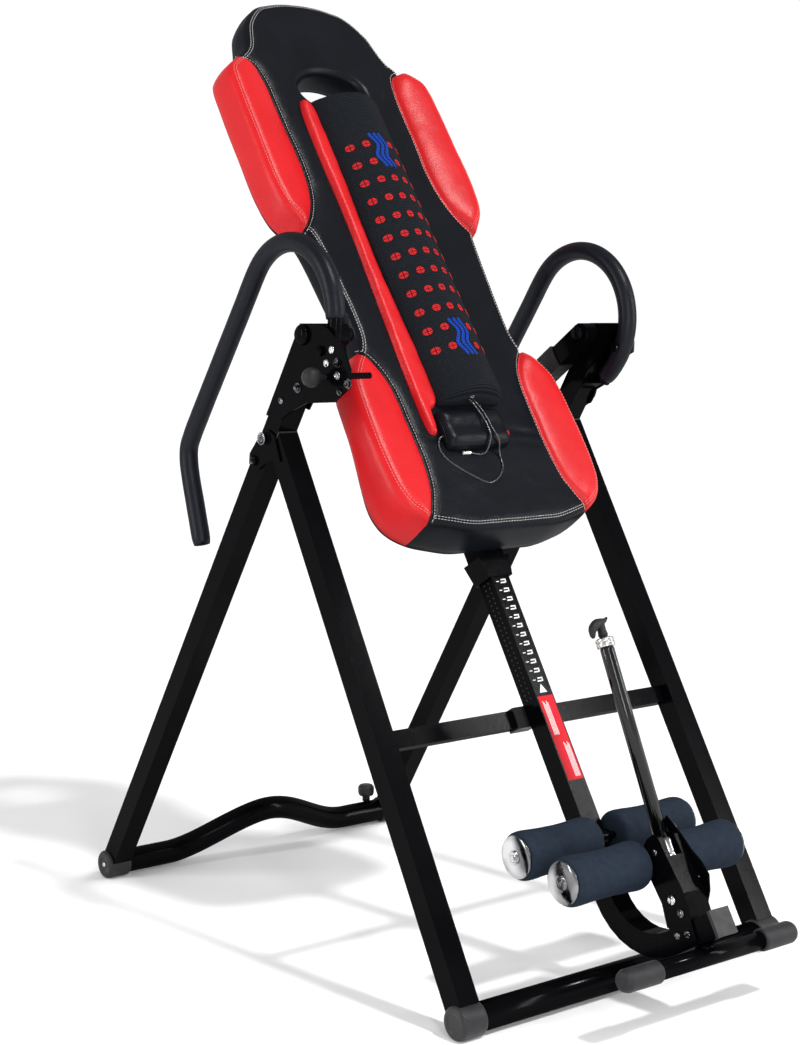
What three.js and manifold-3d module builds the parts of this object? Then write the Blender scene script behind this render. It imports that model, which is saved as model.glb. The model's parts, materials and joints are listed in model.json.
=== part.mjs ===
// Inversion table: an A-frame on two floor bars, a tilting bed hung between two pivots,
// and a height-adjustable boom that carries the foot bar and the ankle rollers.
// Millimetres, +Z up, the foot end faces -Y, the user's left-right axis is X, floor at z = 0.
// Side views are drawn in (y, z) and extruded along X; right-hand parts are mirrored to the left.
import * as THREE from 'three';
import { mergeVertices } from 'three/addons/utils/BufferGeometryUtils.js';
import Module from 'manifold-3d';

const wasm = await Module();
wasm.setup();
const { Manifold, Mesh } = wasm;

// ---------- driving dimensions ----------
const GAP = 0.4;                        // air left between touching pieces
const SHIFT_X = 15;                      // the one-sided spring pin is part of the width
const SHIFT_Y = -424.84;                // moves the drawing so the box centre is at y = 0

const LEG = 38;                         // square leg and boom tube
const BAR_R = 22.5;                     // floor bar radius
const CAP_R = 26.5;                     // floor bar end cap radius (16 sides, flat one down)
const BAR_Z = CAP_R * Math.cos(Math.PI / 16);
const HALF_WIDTH = 355.5;               // to the outside of the end caps
const CAP_LENGTH = 47;
const LEG_X = 330;                      // leg centre at the floor
const LEG_LEAN = 0.0105;                // legs close up by this much per millimetre of height

const FRONT = { y: -2.9, z: BAR_Z, tilt: THREE.MathUtils.degToRad(29.85) };
const REAR = { y: 1045.7, z: BAR_Z, tilt: THREE.MathUtils.degToRad(-32.87) };
const REAR_TOP_Z = 1061;
const PIVOT = [390, 1043];              // bed axis (y, z)
const FOLD = [533, 834];                // frame fold axis (y, z)
const RING_PIN = [503, 872];
const KNOB_PIN = [331, 977];
const STOP_PEG = [277, 980];

const BED_ORIGIN = [0, 268, 744];       // middle of the lower front edge of the bed
const BED_TILT = THREE.MathUtils.degToRad(34.3);
const BOOM_ORIGIN = [0, -27.9, 54.2];   // where boom axis and foot tube axis would cross
const BOOM_TILT = THREE.MathUtils.degToRad(31.3);

const HANDLE_X = 323;
const HANDLE_R = 12.5;
const HANDLE_BOLT = [342, 1018];        // (y, z)
const FOAM_R = 16.5;
const ROLLER_R = 39;

// ---------- finishes ----------
const finish = (color, roughness, metalness) =>
  new THREE.MeshStandardMaterial({ color, roughness, metalness });
const BLACK_STEEL = finish(0x0d0e10, 0.32, 0.6);
const BRIGHT_STEEL = finish(0xc9cbcd, 0.2, 1.0);
const DARK_PLASTIC = finish(0x1c1d1f, 0.5, 0.0);
const GREY_PLASTIC = finish(0x77797b, 0.55, 0.0);
const GRIP_FOAM = finish(0x1d1e24, 0.9, 0.0);
const ROLLER_FOAM = finish(0x343944, 0.95, 0.0);
const BED_VINYL = finish(0x17181a, 0.5, 0.0);
const PAD_FABRIC = finish(0x141516, 0.95, 0.0);
const CORD_VINYL = finish(0x0a0a0b, 0.5, 0.0);

// ---------- geometry helpers ----------
// Welds corners, drops empty triangles, and leaves plain positions and an index.
function weld(geometry) {
  geometry.deleteAttribute('normal');
  geometry.deleteAttribute('uv');
  const merged = mergeVertices(geometry, 1e-4);
  const kept = [];
  const index = merged.index.array;
  for (let i = 0; i < index.length; i += 3) {
    const [a, b, c] = [index[i], index[i + 1], index[i + 2]];
    if (a !== b && b !== c && c !== a) kept.push(a, b, c);
  }
  merged.setIndex(kept);
  return merged;
}

// A shape from outline points, always wound counter-clockwise so that holes cut it.
function shapeOf(outline) {
  const points = outline.map(([u, v]) => new THREE.Vector2(u, v));
  return new THREE.Shape(THREE.ShapeUtils.isClockWise(points) ? points.reverse() : points);
}

// The outline (u, v) becomes (y, z), extruded from x0 to x1; holes are [u, v, radius].
function slab(outline, x0, x1, holes = []) {
  const shape = shapeOf(outline);
  for (const [u, v, r] of holes) {
    const hole = new THREE.Path();
    hole.absarc(u, v, r, 0, Math.PI * 2, true);
    shape.holes.push(hole);
  }
  const solid = weld(new THREE.ExtrudeGeometry(shape,
    { depth: x1 - x0, bevelEnabled: false, curveSegments: 6 }));
  solid.applyMatrix4(new THREE.Matrix4().makeBasis(
    new THREE.Vector3(0, 1, 0), new THREE.Vector3(0, 0, 1), new THREE.Vector3(1, 0, 0)));
  return solid.translate(x0, 0, 0);
}

// Turned piece: profile rows are [radius, x], turned about the X line through (y, z).
function turned(profile, [y, z], sides = 20) {
  const points = profile.map(([r, x]) => new THREE.Vector2(r, x));
  const solid = weld(new THREE.LatheGeometry(points, sides, Math.PI / sides));
  return outward(solid.rotateZ(-Math.PI / 2).translate(0, y, z));
}

// Turned piece standing along local Z at (x, y).
function turnedUp(profile, x, y, sides = 20) {
  const points = profile.map(([r, z]) => new THREE.Vector2(r, z));
  const solid = weld(new THREE.LatheGeometry(points, sides));
  return outward(solid.rotateX(Math.PI / 2).translate(x, y, 0));
}

function volume(geometry) {
  const p = geometry.attributes.position;
  const index = geometry.index.array;
  const [a, b, c] = [0, 1, 2].map(() => new THREE.Vector3());
  let sum = 0;
  for (let i = 0; i < index.length; i += 3) {
    a.fromBufferAttribute(p, index[i]);
    b.fromBufferAttribute(p, index[i + 1]);
    c.fromBufferAttribute(p, index[i + 2]);
    sum += a.dot(b.cross(c)) / 6;
  }
  return sum;
}

function flip(geometry) {
  const index = geometry.index.array;
  for (let i = 0; i < index.length; i += 3) [index[i], index[i + 1]] = [index[i + 1], index[i]];
  return geometry;
}

const outward = (geometry) => (volume(geometry) < 0 ? flip(geometry) : geometry);

const mirrored = (geometry) => flip(geometry.clone().scale(-1, 1, 1));

// Round or ring-shaped section swept along 3-D points.
function swept(points, radius, sides, steps, boreRadius = 0) {
  const path = new THREE.CatmullRomCurve3(
    points.map((p) => new THREE.Vector3(...p)), false, 'centripetal');
  const ring = (r) => Array.from({ length: sides }, (_, k) => {
    const angle = (k * 2 * Math.PI) / sides;
    return new THREE.Vector2(r * Math.cos(angle), r * Math.sin(angle));
  });
  const shape = new THREE.Shape(ring(radius));
  if (boreRadius) shape.holes.push(new THREE.Path(ring(boreRadius).reverse()));
  return weld(new THREE.ExtrudeGeometry(shape, { steps, extrudePath: path, bevelEnabled: false }));
}

const block = (x, y, z, [cx, cy, cz]) => weld(new THREE.BoxGeometry(x, y, z))
  .translate(cx, cy, cz);

function toManifold(geometry) {
  return new Manifold(new Mesh({
    numProp: 3,
    vertProperties: new Float32Array(geometry.attributes.position.array),
    triVerts: new Uint32Array(geometry.index.array),
  }));
}

function fromManifold(solid) {
  const mesh = solid.getMesh();
  const geometry = new THREE.BufferGeometry();
  geometry.setAttribute('position', new THREE.BufferAttribute(
    new Float32Array(mesh.vertProperties), 3));
  geometry.setIndex(Array.from(mesh.triVerts));
  return geometry;
}

const joined = (...parts) => fromManifold(
  parts.map(toManifold).reduce((sum, part) => Manifold.union(sum, part)));
const cut = (whole, tool) => fromManifold(
  Manifold.difference(toManifold(whole), toManifold(tool)));

// Local frames: X across, second axis up along the bed or boom, third axis out of its front.
function tiltedFrame([x, y, z], tilt) {
  const up = new THREE.Vector3(0, Math.sin(tilt), Math.cos(tilt));
  const out = new THREE.Vector3(0, -Math.cos(tilt), Math.sin(tilt));
  return new THREE.Matrix4().makeBasis(new THREE.Vector3(1, 0, 0), up, out).setPosition(x, y, z);
}
const bedFrame = tiltedFrame(BED_ORIGIN, BED_TILT);
const boomFrame = tiltedFrame(BOOM_ORIGIN, BOOM_TILT);
const onBed = (geometry) => geometry.applyMatrix4(bedFrame);
const onBoom = (geometry) => geometry.applyMatrix4(boomFrame);

// Slides a right-hand side piece drawn about x = 0 out to the leaning leg.
function onLeg(geometry) {
  const p = geometry.attributes.position;
  for (let i = 0; i < p.count; i += 1) p.setX(i, p.getX(i) + LEG_X - LEG_LEAN * p.getZ(i));
  return geometry;
}

// ---------- assembly ----------
const table = new THREE.Group();
table.name = 'inversion_table';

function add(name, geometry, material) {
  geometry.translate(SHIFT_X, SHIFT_Y, 0);
  geometry.computeVertexNormals();
  const mesh = new THREE.Mesh(geometry, material);
  mesh.name = name;
  table.add(mesh);
}

// Adds name_right as drawn and name_left as its mirror image.
function addPair(name, geometry, material) {
  add(`${name}_left`, mirrored(geometry), material);
  add(`${name}_right`, geometry, material);
}

// ---------- leg outlines ----------
const legDirection = ({ tilt }) => [Math.sin(tilt), Math.cos(tilt)];
const legFront = ({ tilt }) => [-Math.cos(tilt), Math.sin(tilt)];

// Point on a leg: distance along from the bar centre, offset towards the front.
function onAxis(leg, along, offset) {
  const [dy, dz] = legDirection(leg);
  const [fy, fz] = legFront(leg);
  return [leg.y + along * dy + offset * fy, leg.z + along * dz + offset * fz];
}

// Curved lower end that sits on the end cap, from the rear edge to the front edge.
function saddle(leg) {
  const reach = CAP_R + GAP;
  return [-1, -0.66, -0.33, 0, 0.33, 0.66, 1].map((k) => {
    const offset = (k * LEG) / 2;
    return onAxis(leg, Math.sqrt(reach * reach - offset * offset), offset);
  });
}

const rearTop = (offset) => {
  const [, dz] = legDirection(REAR);
  const [, fz] = legFront(REAR);
  return onAxis(REAR, (REAR_TOP_Z - REAR.z - offset * fz) / dz, offset);
};

// The front leg ends on a line held clear of the rear leg's front face.
function frontLegEnd(offset, clearance) {
  const [ny, nz] = legFront(REAR);
  const [qy, qz] = onAxis(REAR, 0, LEG / 2 + clearance);
  const [dy, dz] = legDirection(FRONT);
  const [py, pz] = onAxis(FRONT, 0, offset);
  const along = ((qy - py) * ny + (qz - pz) * nz) / (dy * ny + dz * nz);
  return onAxis(FRONT, along, offset);
}

// ---------- rear frame ----------
addPair('rear_leg', onLeg(slab(
  [...saddle(REAR), rearTop(LEG / 2), rearTop(-LEG / 2)], -LEG / 2, LEG / 2,
  [[...PIVOT, 6.6], [...FOLD, 5.6], [...RING_PIN, 4.4]])), BLACK_STEEL);

// Floor bars: the rear one arches up and forward in the plane of the rear legs.
const BAR_END = HALF_WIDTH - 4.5;
const archRise = (x) => {
  const t = THREE.MathUtils.clamp(1 - Math.abs(x) / 215, 0, 1);
  return 74 * t * t * (3 - 2 * t);
};
const rearBarPoints = [];
for (let x = -BAR_END; x <= BAR_END + 0.1; x += BAR_END / 12) {
  const [y, z] = onAxis(REAR, archRise(x), 0);
  rearBarPoints.push([x, y, z]);
}
add('rear_floor_bar', swept(rearBarPoints, BAR_R, 16, 24), BLACK_STEEL);
add('front_floor_bar', turned(
  [[0, -BAR_END], [BAR_R, -BAR_END], [BAR_R, BAR_END], [0, BAR_END]],
  [FRONT.y, FRONT.z], 16), BLACK_STEEL);

const capProfile = [
  [0, HALF_WIDTH], [CAP_R - 3, HALF_WIDTH], [CAP_R, HALF_WIDTH - 3],
  [CAP_R, HALF_WIDTH - CAP_LENGTH], [BAR_R + 0.9, HALF_WIDTH - CAP_LENGTH],
  [BAR_R + 0.9, BAR_END + GAP], [0, BAR_END + GAP]];
addPair('rear_cap', turned(capProfile, [REAR.y, REAR.z], 16), DARK_PLASTIC);
addPair('front_cap', turned(capProfile, [FRONT.y, FRONT.z], 16), GREY_PLASTIC);

// Rubber-topped stud standing behind the right end of the rear bar.
add('rear_stud', turnedUp(
  [[0, 50], [8, 50], [8, 58], [16, 60], [17, 66], [17, 78], [13, 83], [0, 84]],
  283, REAR.y + 8), DARK_PLASTIC);

// Pivot brackets: an outer plate and a narrow inner one, joined by a web below the rail. The
// left outer plate is wide and carries the spring pin and a stop peg; the right one ends
// behind the rail.
const bracketWide = [
  [399, 1061], [497, 911], [455, 905], [430, 918], [372, 938], [302, 942],
  [268, 962], [266, 990], [285, 1027], [322, 1052], [345, 1061]];
const bracketShort = [
  [399, 1061], [497, 911], [460, 907], [450, 912], [443, 914], [432, 928], [428, 939],
  [404, 950], [386, 964], [364, 985], [347, 1003], [334, 1009], [333, 1027], [345, 1061]];
const bracketInner = [
  [399, 1061], [480, 933], [440, 920], [425, 938], [372, 1028], [360, 1044], [360, 1061]];
const railBolt = (outerHead) => turned(
  [[0, 299], [8, 299], [8, 303], [4, 303], ...outerHead], HANDLE_BOLT, 12);
const innerPlate = slab(bracketInner, 295.5, 299, [[...PIVOT, 6.6]]);
add('pivot_bracket_left', mirrored(joined(
  slab(bracketWide, 340, 344, [[...PIVOT, 6.6], [...KNOB_PIN, 5.8]]),
  innerPlate.clone(),
  block(48, 70, 3.5, [320, 398, 936.8]),
  turned([[0, 296], [5, 296], [5, 342], [0, 342]], STOP_PEG, 16),
  railBolt([[4, 344], [8.5, 344], [8, 349], [4, 352], [0, 352.5]]))), BLACK_STEEL);
add('pivot_bracket_right', joined(
  slab(bracketShort, 340, 344, [[...PIVOT, 6.6]]),
  innerPlate,
  slab([[404, 951.5], [426, 942], [427.5, 945.5], [406, 955]], 296, 343.5),
  railBolt([[4, 345.5], [0, 345.5]])), BLACK_STEEL);

addPair('pivot_bolt', turned(
  [[0, 251], [11, 251], [11, 260], [6, 260], [6, 344.4], [17, 344.4], [16, 350],
    [10, 354.5], [0, 356]], PIVOT), BLACK_STEEL);

// ---------- hand rails ----------
// A loop over the pivot, a straight run down behind it, and a short kicked-in tail.
const LOOP = { y: 455, z: 1068, r: 124 };
const loopPoint = (degrees) => {
  const angle = THREE.MathUtils.degToRad(degrees);
  return [HANDLE_X, LOOP.y + LOOP.r * Math.cos(angle), LOOP.z + LOOP.r * Math.sin(angle)];
};
const tailPoints = [
  [590, 1093.5], [640, 1026], [690, 958.5], [735, 897.5], [757, 866.5],
  [770, 843], [771.5, 818], [765.5, 788], [752, 743], [731, 672]]
  .map(([y, z]) => [HANDLE_X, y, z]);
const loopPoints = [];
for (let degrees = 180; degrees >= 36; degrees -= 12) loopPoints.push(loopPoint(degrees));
const lowerPoints = [[HANDLE_X, 390, 957], loopPoint(222), loopPoint(208), loopPoint(194)];

// The tube is drilled across for its bolt. The left foam sleeve starts above the bracket and
// the right one runs on down to the end of the tube.
const handleTube = swept([...lowerPoints, ...loopPoints, ...tailPoints], HANDLE_R, 10, 32);
const boltBore = turned(
  [[0, 290], [8.6, 290], [8.6, 303.6], [4.6, 303.6], [4.6, 350], [0, 350]], HANDLE_BOLT, 12);
addPair('handle_tube', cut(handleTube, boltBore), BLACK_STEEL);
const foamSleeve = (lower, steps) => swept(
  [...lower, ...loopPoints, ...tailPoints.slice(0, -1), [HANDLE_X, 732.4, 676.6]],
  FOAM_R, 10, steps, HANDLE_R + 1.8);
add('handle_foam_left', mirrored(foamSleeve([], 28)), GRIP_FOAM);
add('handle_foam_right', cut(foamSleeve(
  [[HANDLE_X, 384, 963.2], ...lowerPoints.slice(1)], 32), boltBore), GRIP_FOAM);

// ---------- spring pin beside the left pivot ----------
const BALL = { x: 370, r: 16 };
const ballProfile = Array.from({ length: 6 }, (_, k) => {
  const angle = THREE.MathUtils.degToRad(160 - 30 * k);
  return [BALL.r * Math.sin(angle), BALL.x + BALL.r * Math.cos(angle)];
});
add('knob_pin', mirrored(turned(
  [[0, 333], [5, 333], [5, 354.9], ...ballProfile, [0, BALL.x + BALL.r]],
  KNOB_PIN, 12)), DARK_PLASTIC);

// ---------- front frame ----------
const END_PLATE = 2.6;                  // plastic plate that closes the top of a front leg
const CHEEK = [19.4, 22.4];             // hinge cheeks straddle the rear leg
const cheekOutline = [
  [458, 836], [475, 878], [494, 887], [513, 881], [547, 845], [549, 829], [539, 819],
  [522, 819], [490, 836]];
const cheekPad = [[462, 838], [481, 841], [485, 848], [473, 864], [469, 860]];
const frontLegOutline = [...saddle(FRONT),
  frontLegEnd(LEG / 2, END_PLATE + 2 * GAP), frontLegEnd(-LEG / 2, END_PLATE + 2 * GAP)];
const foldBolt = turned(
  [[0, -27], [8, -27], [8, -22], [5, -22], [5, 22], [9, 22], [8.5, 26], [4, 28.5], [0, 29]],
  FOLD, 16);
const cheekSide = (side) => {
  const [near, far] = side > 0 ? CHEEK : [-CHEEK[1], -CHEEK[0]];
  const holes = side > 0 ? [[...RING_PIN, 4.9]] : [];
  return joined(slab(cheekOutline, near, far, holes),
    slab(cheekPad, Math.min(near, side * 18), Math.max(far - 1, side * 18)));
};
addPair('front_leg', onLeg(joined(
  slab(frontLegOutline, -LEG / 2, LEG / 2), cheekSide(1), cheekSide(-1), foldBolt)), BLACK_STEEL);
addPair('front_leg_cap', onLeg(slab(
  [frontLegEnd(LEG / 2, GAP), frontLegEnd(-LEG / 2, GAP),
    frontLegEnd(-LEG / 2, END_PLATE + GAP), frontLegEnd(LEG / 2, END_PLATE + GAP)],
  -LEG / 2, LEG / 2)), GREY_PLASTIC);

// Pull pin with a split ring, its tip held just clear of the rear leg.
const ringProfile = Array.from({ length: 7 }, (_, k) => {
  const angle = (k * Math.PI) / 3;
  return [9.6 + 1.7 * Math.cos(angle), 29 + 1.7 * Math.sin(angle)];
});
addPair('ring_pin', onLeg(joined(
  turned([[0, 19.5], [4, 19.5], [4, 24], [6.5, 24], [6.5, 30.5], [0, 31.5]], RING_PIN, 16),
  turned(ringProfile, RING_PIN, 14),
  block(2.4, 19, 3, [29, ...RING_PIN]))), BRIGHT_STEEL);

// Cross bar between the front legs, with a ribbed rubber rest for the boom.
const frontFrame = tiltedFrame([0, FRONT.y, FRONT.z], FRONT.tilt);
const CROSS_BAR = { up: 441.6, out: -9.5, half: 305.8, height: 30, depth: 20 };
add('cross_bar', block(2 * CROSS_BAR.half, CROSS_BAR.height, CROSS_BAR.depth,
  [0, CROSS_BAR.up, CROSS_BAR.out]).applyMatrix4(frontFrame), BLACK_STEEL);
const restSize = (wall, width) => block(width, CROSS_BAR.height + 2 * wall,
  CROSS_BAR.depth + 2 * wall, [-22, CROSS_BAR.up, CROSS_BAR.out]);
add('boom_rest', cut(restSize(3.4, 40), restSize(GAP, 44)).applyMatrix4(frontFrame),
  DARK_PLASTIC);

// ---------- bed frame ----------
const ARM = { x: [262, 290], up: 315.7, half: 18, pivotOut: 67.8, foot: -88 };
const CROSS_TUBE = { out: -72, r: 12.7, half: 258.4 };
const RECEIVER = { bottom: 700, top: 1078, half: 22.5, bore: 39 };
const BOARD = [-58, -46.4];
const PAD_BACK = -46;

const collar = weld(new THREE.ExtrudeGeometry(
  shapeOf([[-34, 706], [34, 706], [25, 668], [-25, 668]]),
  { depth: 2 * RECEIVER.half, bevelEnabled: false })).translate(0, 0, -RECEIVER.half);
const receiverLength = RECEIVER.top - RECEIVER.bottom;
const receiver = block(2 * RECEIVER.half, receiverLength, 2 * RECEIVER.half,
  [0, RECEIVER.bottom + receiverLength / 2, 0]);
const boomBore = block(RECEIVER.bore, 600, RECEIVER.bore, [0, 900, 0]);
const crossTube = turned([
  [0, -CROSS_TUBE.half], [CROSS_TUBE.r, -CROSS_TUBE.half],
  [CROSS_TUBE.r, CROSS_TUBE.half], [0, CROSS_TUBE.half]], [ARM.up, CROSS_TUBE.out], 16);
const strap = (x) => block(30, 170, 3.5, [x, 320, -60.2]);
add('bed_frame', cut(joined(
  onBoom(receiver), onBoom(collar), onBed(crossTube),
  onBed(strap(-85)), onBed(strap(85)), onBed(block(40, 26, 26, [0, 9, -71.5]))),
onBoom(boomBore)), BLACK_STEEL);

const armTop = Array.from({ length: 9 }, (_, k) => {
  const angle = (k * Math.PI) / 8;
  return [ARM.up + ARM.half * Math.cos(angle), ARM.pivotOut + ARM.half * Math.sin(angle)];
});
addPair('swing_arm', onBed(slab(
  [...armTop, [ARM.up - ARM.half, ARM.foot], [ARM.up + ARM.half, ARM.foot]],
  ...ARM.x, [[ARM.up, ARM.pivotOut, 6.6]])), BLACK_STEEL);
addPair('arm_sleeve', onBed(cut(
  block(34, 43, 78, [276, ARM.up, -46]), block(28.8, 36.8, 90, [276, ARM.up, -46]))),
DARK_PLASTIC);

// ---------- bed board and cushion ----------
// Right half of the cushion outline as [half width, distance up the bed].
const cushionHalf = [
  [50, -22], [94, -21], [133, -13], [178, 1], [210, 24], [226, 57], [232, 108], [234, 160],
  [232, 224], [226, 271], [205, 306], [184, 332], [175, 360], [174, 395], [178, 463],
  [190, 572], [200, 590], [222, 624], [232, 680], [232, 770], [231, 859], [224, 927],
  [200, 950], [182, 966], [160, 986], [137, 1046], [100, 1087], [70, 1098], [30, 1106]];
const bothSides = (half) => [...half, ...half.map(([x, a]) => [-x, a]).reverse()];

// A flat piece of the bed: outline in (x, a), from one depth to the other.
function bedPlate(outline, [from, to], hole) {
  const shape = shapeOf(outline);
  if (hole) {
    const path = new THREE.Path();
    path.absellipse(...hole, 0, Math.PI * 2, true, 0);
    shape.holes.push(path);
  }
  return weld(new THREE.ExtrudeGeometry(shape,
    { depth: to - from, bevelEnabled: false, curveSegments: 10 }).translate(0, 0, from));
}
const HAND_HOLE = [-4, 897, 70, 42];    // centre x, centre a, half width, half height
const boardHalf = cushionHalf.map(([x, a]) => [x - 14, THREE.MathUtils.clamp(a, -8, 1092)]);
add('bed_board', onBed(bedPlate(bothSides(boardHalf), BOARD, HAND_HOLE)), DARK_PLASTIC);

// Padded wings stand proud of the cushion face at the thighs and the shoulders.
const wing = (from, to, seam, height) => bedPlate(
  [...cushionHalf.filter(([, a]) => a >= from && a <= to).map(([x, a]) => [x - 8, a]),
    [seam, to - 20], [seam, from + 20]], [-1, height]);
const wings = [wing(24, 306, 152, 8), wing(590, 950, 158, 18)];
add('bed_cushion', onBed(joined(
  bedPlate(bothSides(cushionHalf), [PAD_BACK, 0], HAND_HOLE),
  ...wings, ...wings.map(mirrored))), BED_VINYL);

// ---------- massage pad, its controller and leads ----------
// A length of section (x, n) running up the bed between two distances.
function bedRun(section, from, to) {
  return weld(new THREE.ExtrudeGeometry(shapeOf(section), { depth: to - from, bevelEnabled: false })
    .rotateX(Math.PI / 2).translate(0, to, 0));
}
add('massage_pad', onBed(bedRun(
  [[-74, GAP], [68, GAP], [68, 14], [60, 26], [44, 41], [22, 53], [-3, 58], [-28, 53],
    [-50, 41], [-66, 26], [-74, 14]], 213, 858)), PAD_FABRIC);
add('pad_flap', onBed(bedPlate(
  [[-75, 858], [-90, 860], [-113, 170], [-109, 158], [-100, 158], [-96, 170], [-92, 205],
    [-75, 216]], [GAP, 14])), finish(0xc8101a, 0.5, 0));
add('controller', onBed(slab(
  [[127, GAP], [197, GAP], [197, 12], [193, 19], [184, 23], [162, 24], [140, 23], [131, 19],
    [127, 10]], -89, 47)), BED_VINYL);

const CORD_R = 2;
const padLead = [
  [-10, 211.6, 25], [-7, 203, 27], [-2, 189, 27.8], [2, 172, 28], [4, 153, 27.8],
  [8, 137, 27], [13, 127.5, 21], [17, 118, 9], [19, 107, 3.2], [17, 92, 2.6], [6, 77, 2.6],
  [-11, 65, 2.6], [-29, 61, 2.6], [-46, 69, 2.6], [-61, 79, 2.6], [-77, 91, 2.6],
  [-91, 104, 2.6], [-100, 117, 2.6], [-104, 130, 3], [-102, 142, 5], [-97, 149, 8], [-90, 150, 9]];
const plugLead = [
  [-18, 211.6, 25], [-15, 203, 27], [-10, 188, 27.8], [-6, 171, 28], [-4, 155, 27.8],
  [-5, 140, 27.2], [-8, 129, 22.5], [-10, 121, 14], [-14, 116, 7], [-22, 115, 3.4],
  [-32, 117, 3.4], [-43.6, 119, 4.4]];
const lead = (points) => swept(points, CORD_R, 8, 36);
add('pad_lead', onBed(lead(padLead)), CORD_VINYL);
add('plug_lead', onBed(lead(plugLead)), CORD_VINYL);
add('lead_plug', onBed(turned(
  [[0, -62], [3, -62], [4, -60], [4, -44], [0, -44]], [119, 4.4], 12)), BRIGHT_STEEL);

// ---------- boom ----------
const BOOM_TOP = 985;
const BEND = 110;                       // centreline radius of the bend at the foot
const FOOT_END = 208;
const bendArc = (radius, from, to) => Array.from({ length: 9 }, (_, k) => {
  const angle = THREE.MathUtils.degToRad(from + ((to - from) * k) / 8);
  return [BEND - radius * Math.sin(angle), BEND - radius * Math.cos(angle)];
});
add('boom_tube', onBoom(slab(
  [[BOOM_TOP, -LEG / 2], [BOOM_TOP, LEG / 2], ...bendArc(BEND - LEG / 2, 0, 90),
    [LEG / 2, FOOT_END], [-LEG / 2, FOOT_END], ...bendArc(BEND + LEG / 2, 90, 0)],
  -LEG / 2, LEG / 2)), BLACK_STEEL);
add('boom_cap', onBoom(block(42, 42, 6, [0, 0, FOOT_END + GAP + 3])), GREY_PLASTIC);

const FOOT_BAR = { at: [-38.2, 160.6], r: 14.5, half: 183, capR: 18, capLength: 74 };
add('foot_bar', onBoom(joined(
  turned([[0, -FOOT_BAR.half], [FOOT_BAR.r, -FOOT_BAR.half],
    [FOOT_BAR.r, FOOT_BAR.half], [0, FOOT_BAR.half]], FOOT_BAR.at, 16),
  block(26, 16, 22, [0, -27.4, FOOT_BAR.at[1]]))), BLACK_STEEL);
const footCapEnd = FOOT_BAR.half + 5;
addPair('foot_cap', onBoom(turned(
  [[0, footCapEnd], [FOOT_BAR.capR - 3, footCapEnd], [FOOT_BAR.capR, footCapEnd - 3],
    [FOOT_BAR.capR, footCapEnd - FOOT_BAR.capLength],
    [FOOT_BAR.r + GAP, footCapEnd - FOOT_BAR.capLength],
    [FOOT_BAR.r + GAP, FOOT_BAR.half + GAP], [0, FOOT_BAR.half + GAP]],
  FOOT_BAR.at, 16)), DARK_PLASTIC);

// ---------- ankle rollers ----------
const REAR_AXLE = [197.8, 27];          // (up the boom, out of its front)
const FRONT_AXLE = [129.4, 109.2];
const AXLE_R = 6;
const axle = (at) => turned(
  [[0, -181], [AXLE_R, -181], [AXLE_R, 181], [0, 181]], at, 16);
const bore = AXLE_R + 0.7;
const rollerProfile = [
  [bore, 27], [30, 25.5], [37, 28.5], [ROLLER_R, 38], [37, 104], [ROLLER_R, 170],
  [37, 179], [31, 182], [bore, 182], [bore, 27]];
const rollerCapProfile = [
  [0, 182.6], [33, 182.6], [34, 184.5], [31, 188], [18, 190.6], [0, 192]];
add('rear_axle', onBoom(joined(axle(REAR_AXLE), block(28, 24, 13.4, [0, 197.8, 26.2]))),
  BLACK_STEEL);
add('front_axle', onBoom(axle(FRONT_AXLE)), BLACK_STEEL);
for (const [place, at] of [['rear', REAR_AXLE], ['front', FRONT_AXLE]]) {
  addPair(`${place}_roller`, onBoom(turned(rollerProfile, at, 16)), ROLLER_FOAM);
  addPair(`${place}_roller_cap`, onBoom(turned(rollerCapProfile, at, 16)), BRIGHT_STEEL);
}

// ---------- ankle clamp ----------
// Outlines are (up the boom, out of its front); the housing rides on the foot tube
// and is open at the front of the lever's foot.
const HOUSING_HALF = 22.5;
const housingOutline = [
  [22.6, 118], [19.8, 132], [19.8, 176], [60, 180], [120, 173], [152, 170], [160, 160], [158, 146],
  [150, 132], [146, 112], [136, 97], [122, 96], [111, 107], [100, 122], [60, 126]];
const shoeOutline = [[-14, 120], [-14, 168], [40, 174], [40, 122]];
const leverFrame = tiltedFrame([0, -82, 262], Math.atan2(129, 290));
const upLever = (profile, sides = 16) => outward(
  weld(new THREE.LatheGeometry(profile.map(([r, s]) => new THREE.Vector2(r, s)), sides)))
  .applyMatrix4(leverFrame);
const SHOE = [19.5, HOUSING_HALF];
const shoe = (side) => slab(shoeOutline, Math.min(side * SHOE[0], side * SHOE[1]),
  Math.max(side * SHOE[0], side * SHOE[1]));
const clampBolt = (at) => turned(
  [[0, -26], [5, -25.5], [6, -22], [5, -22], [5, -21], [0, -21]], at, 12);
const leverSlot = block(26, 117, 60, [0, 32.1, 30]).applyMatrix4(leverFrame);
add('clamp_housing', cut(cut(cut(
  onBoom(joined(slab(housingOutline, -HOUSING_HALF, HOUSING_HALF), shoe(1), shoe(-1),
    clampBolt([6, 134]), clampBolt([2, 156]), clampBolt([34, 158]))),
  onBoom(turned([[0, -40], [bore, -40], [bore, 40], [0, 40]], FRONT_AXLE, 16))),
  upLever([[0, -GAP], [12.4, -GAP], [12.4, 90], [0, 90]])), leverSlot), DARK_PLASTIC);
add('sector_plate', onBoom(slab(
  [[185, 158], [150, 173], [121, 182], [98, 193], [75, 198], [52, 187], [34, 170], [34, 150],
    [60, 168], [78, 178], [112, 165], [150, 152], [180, 149]], 23, 26)), DARK_PLASTIC);

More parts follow.
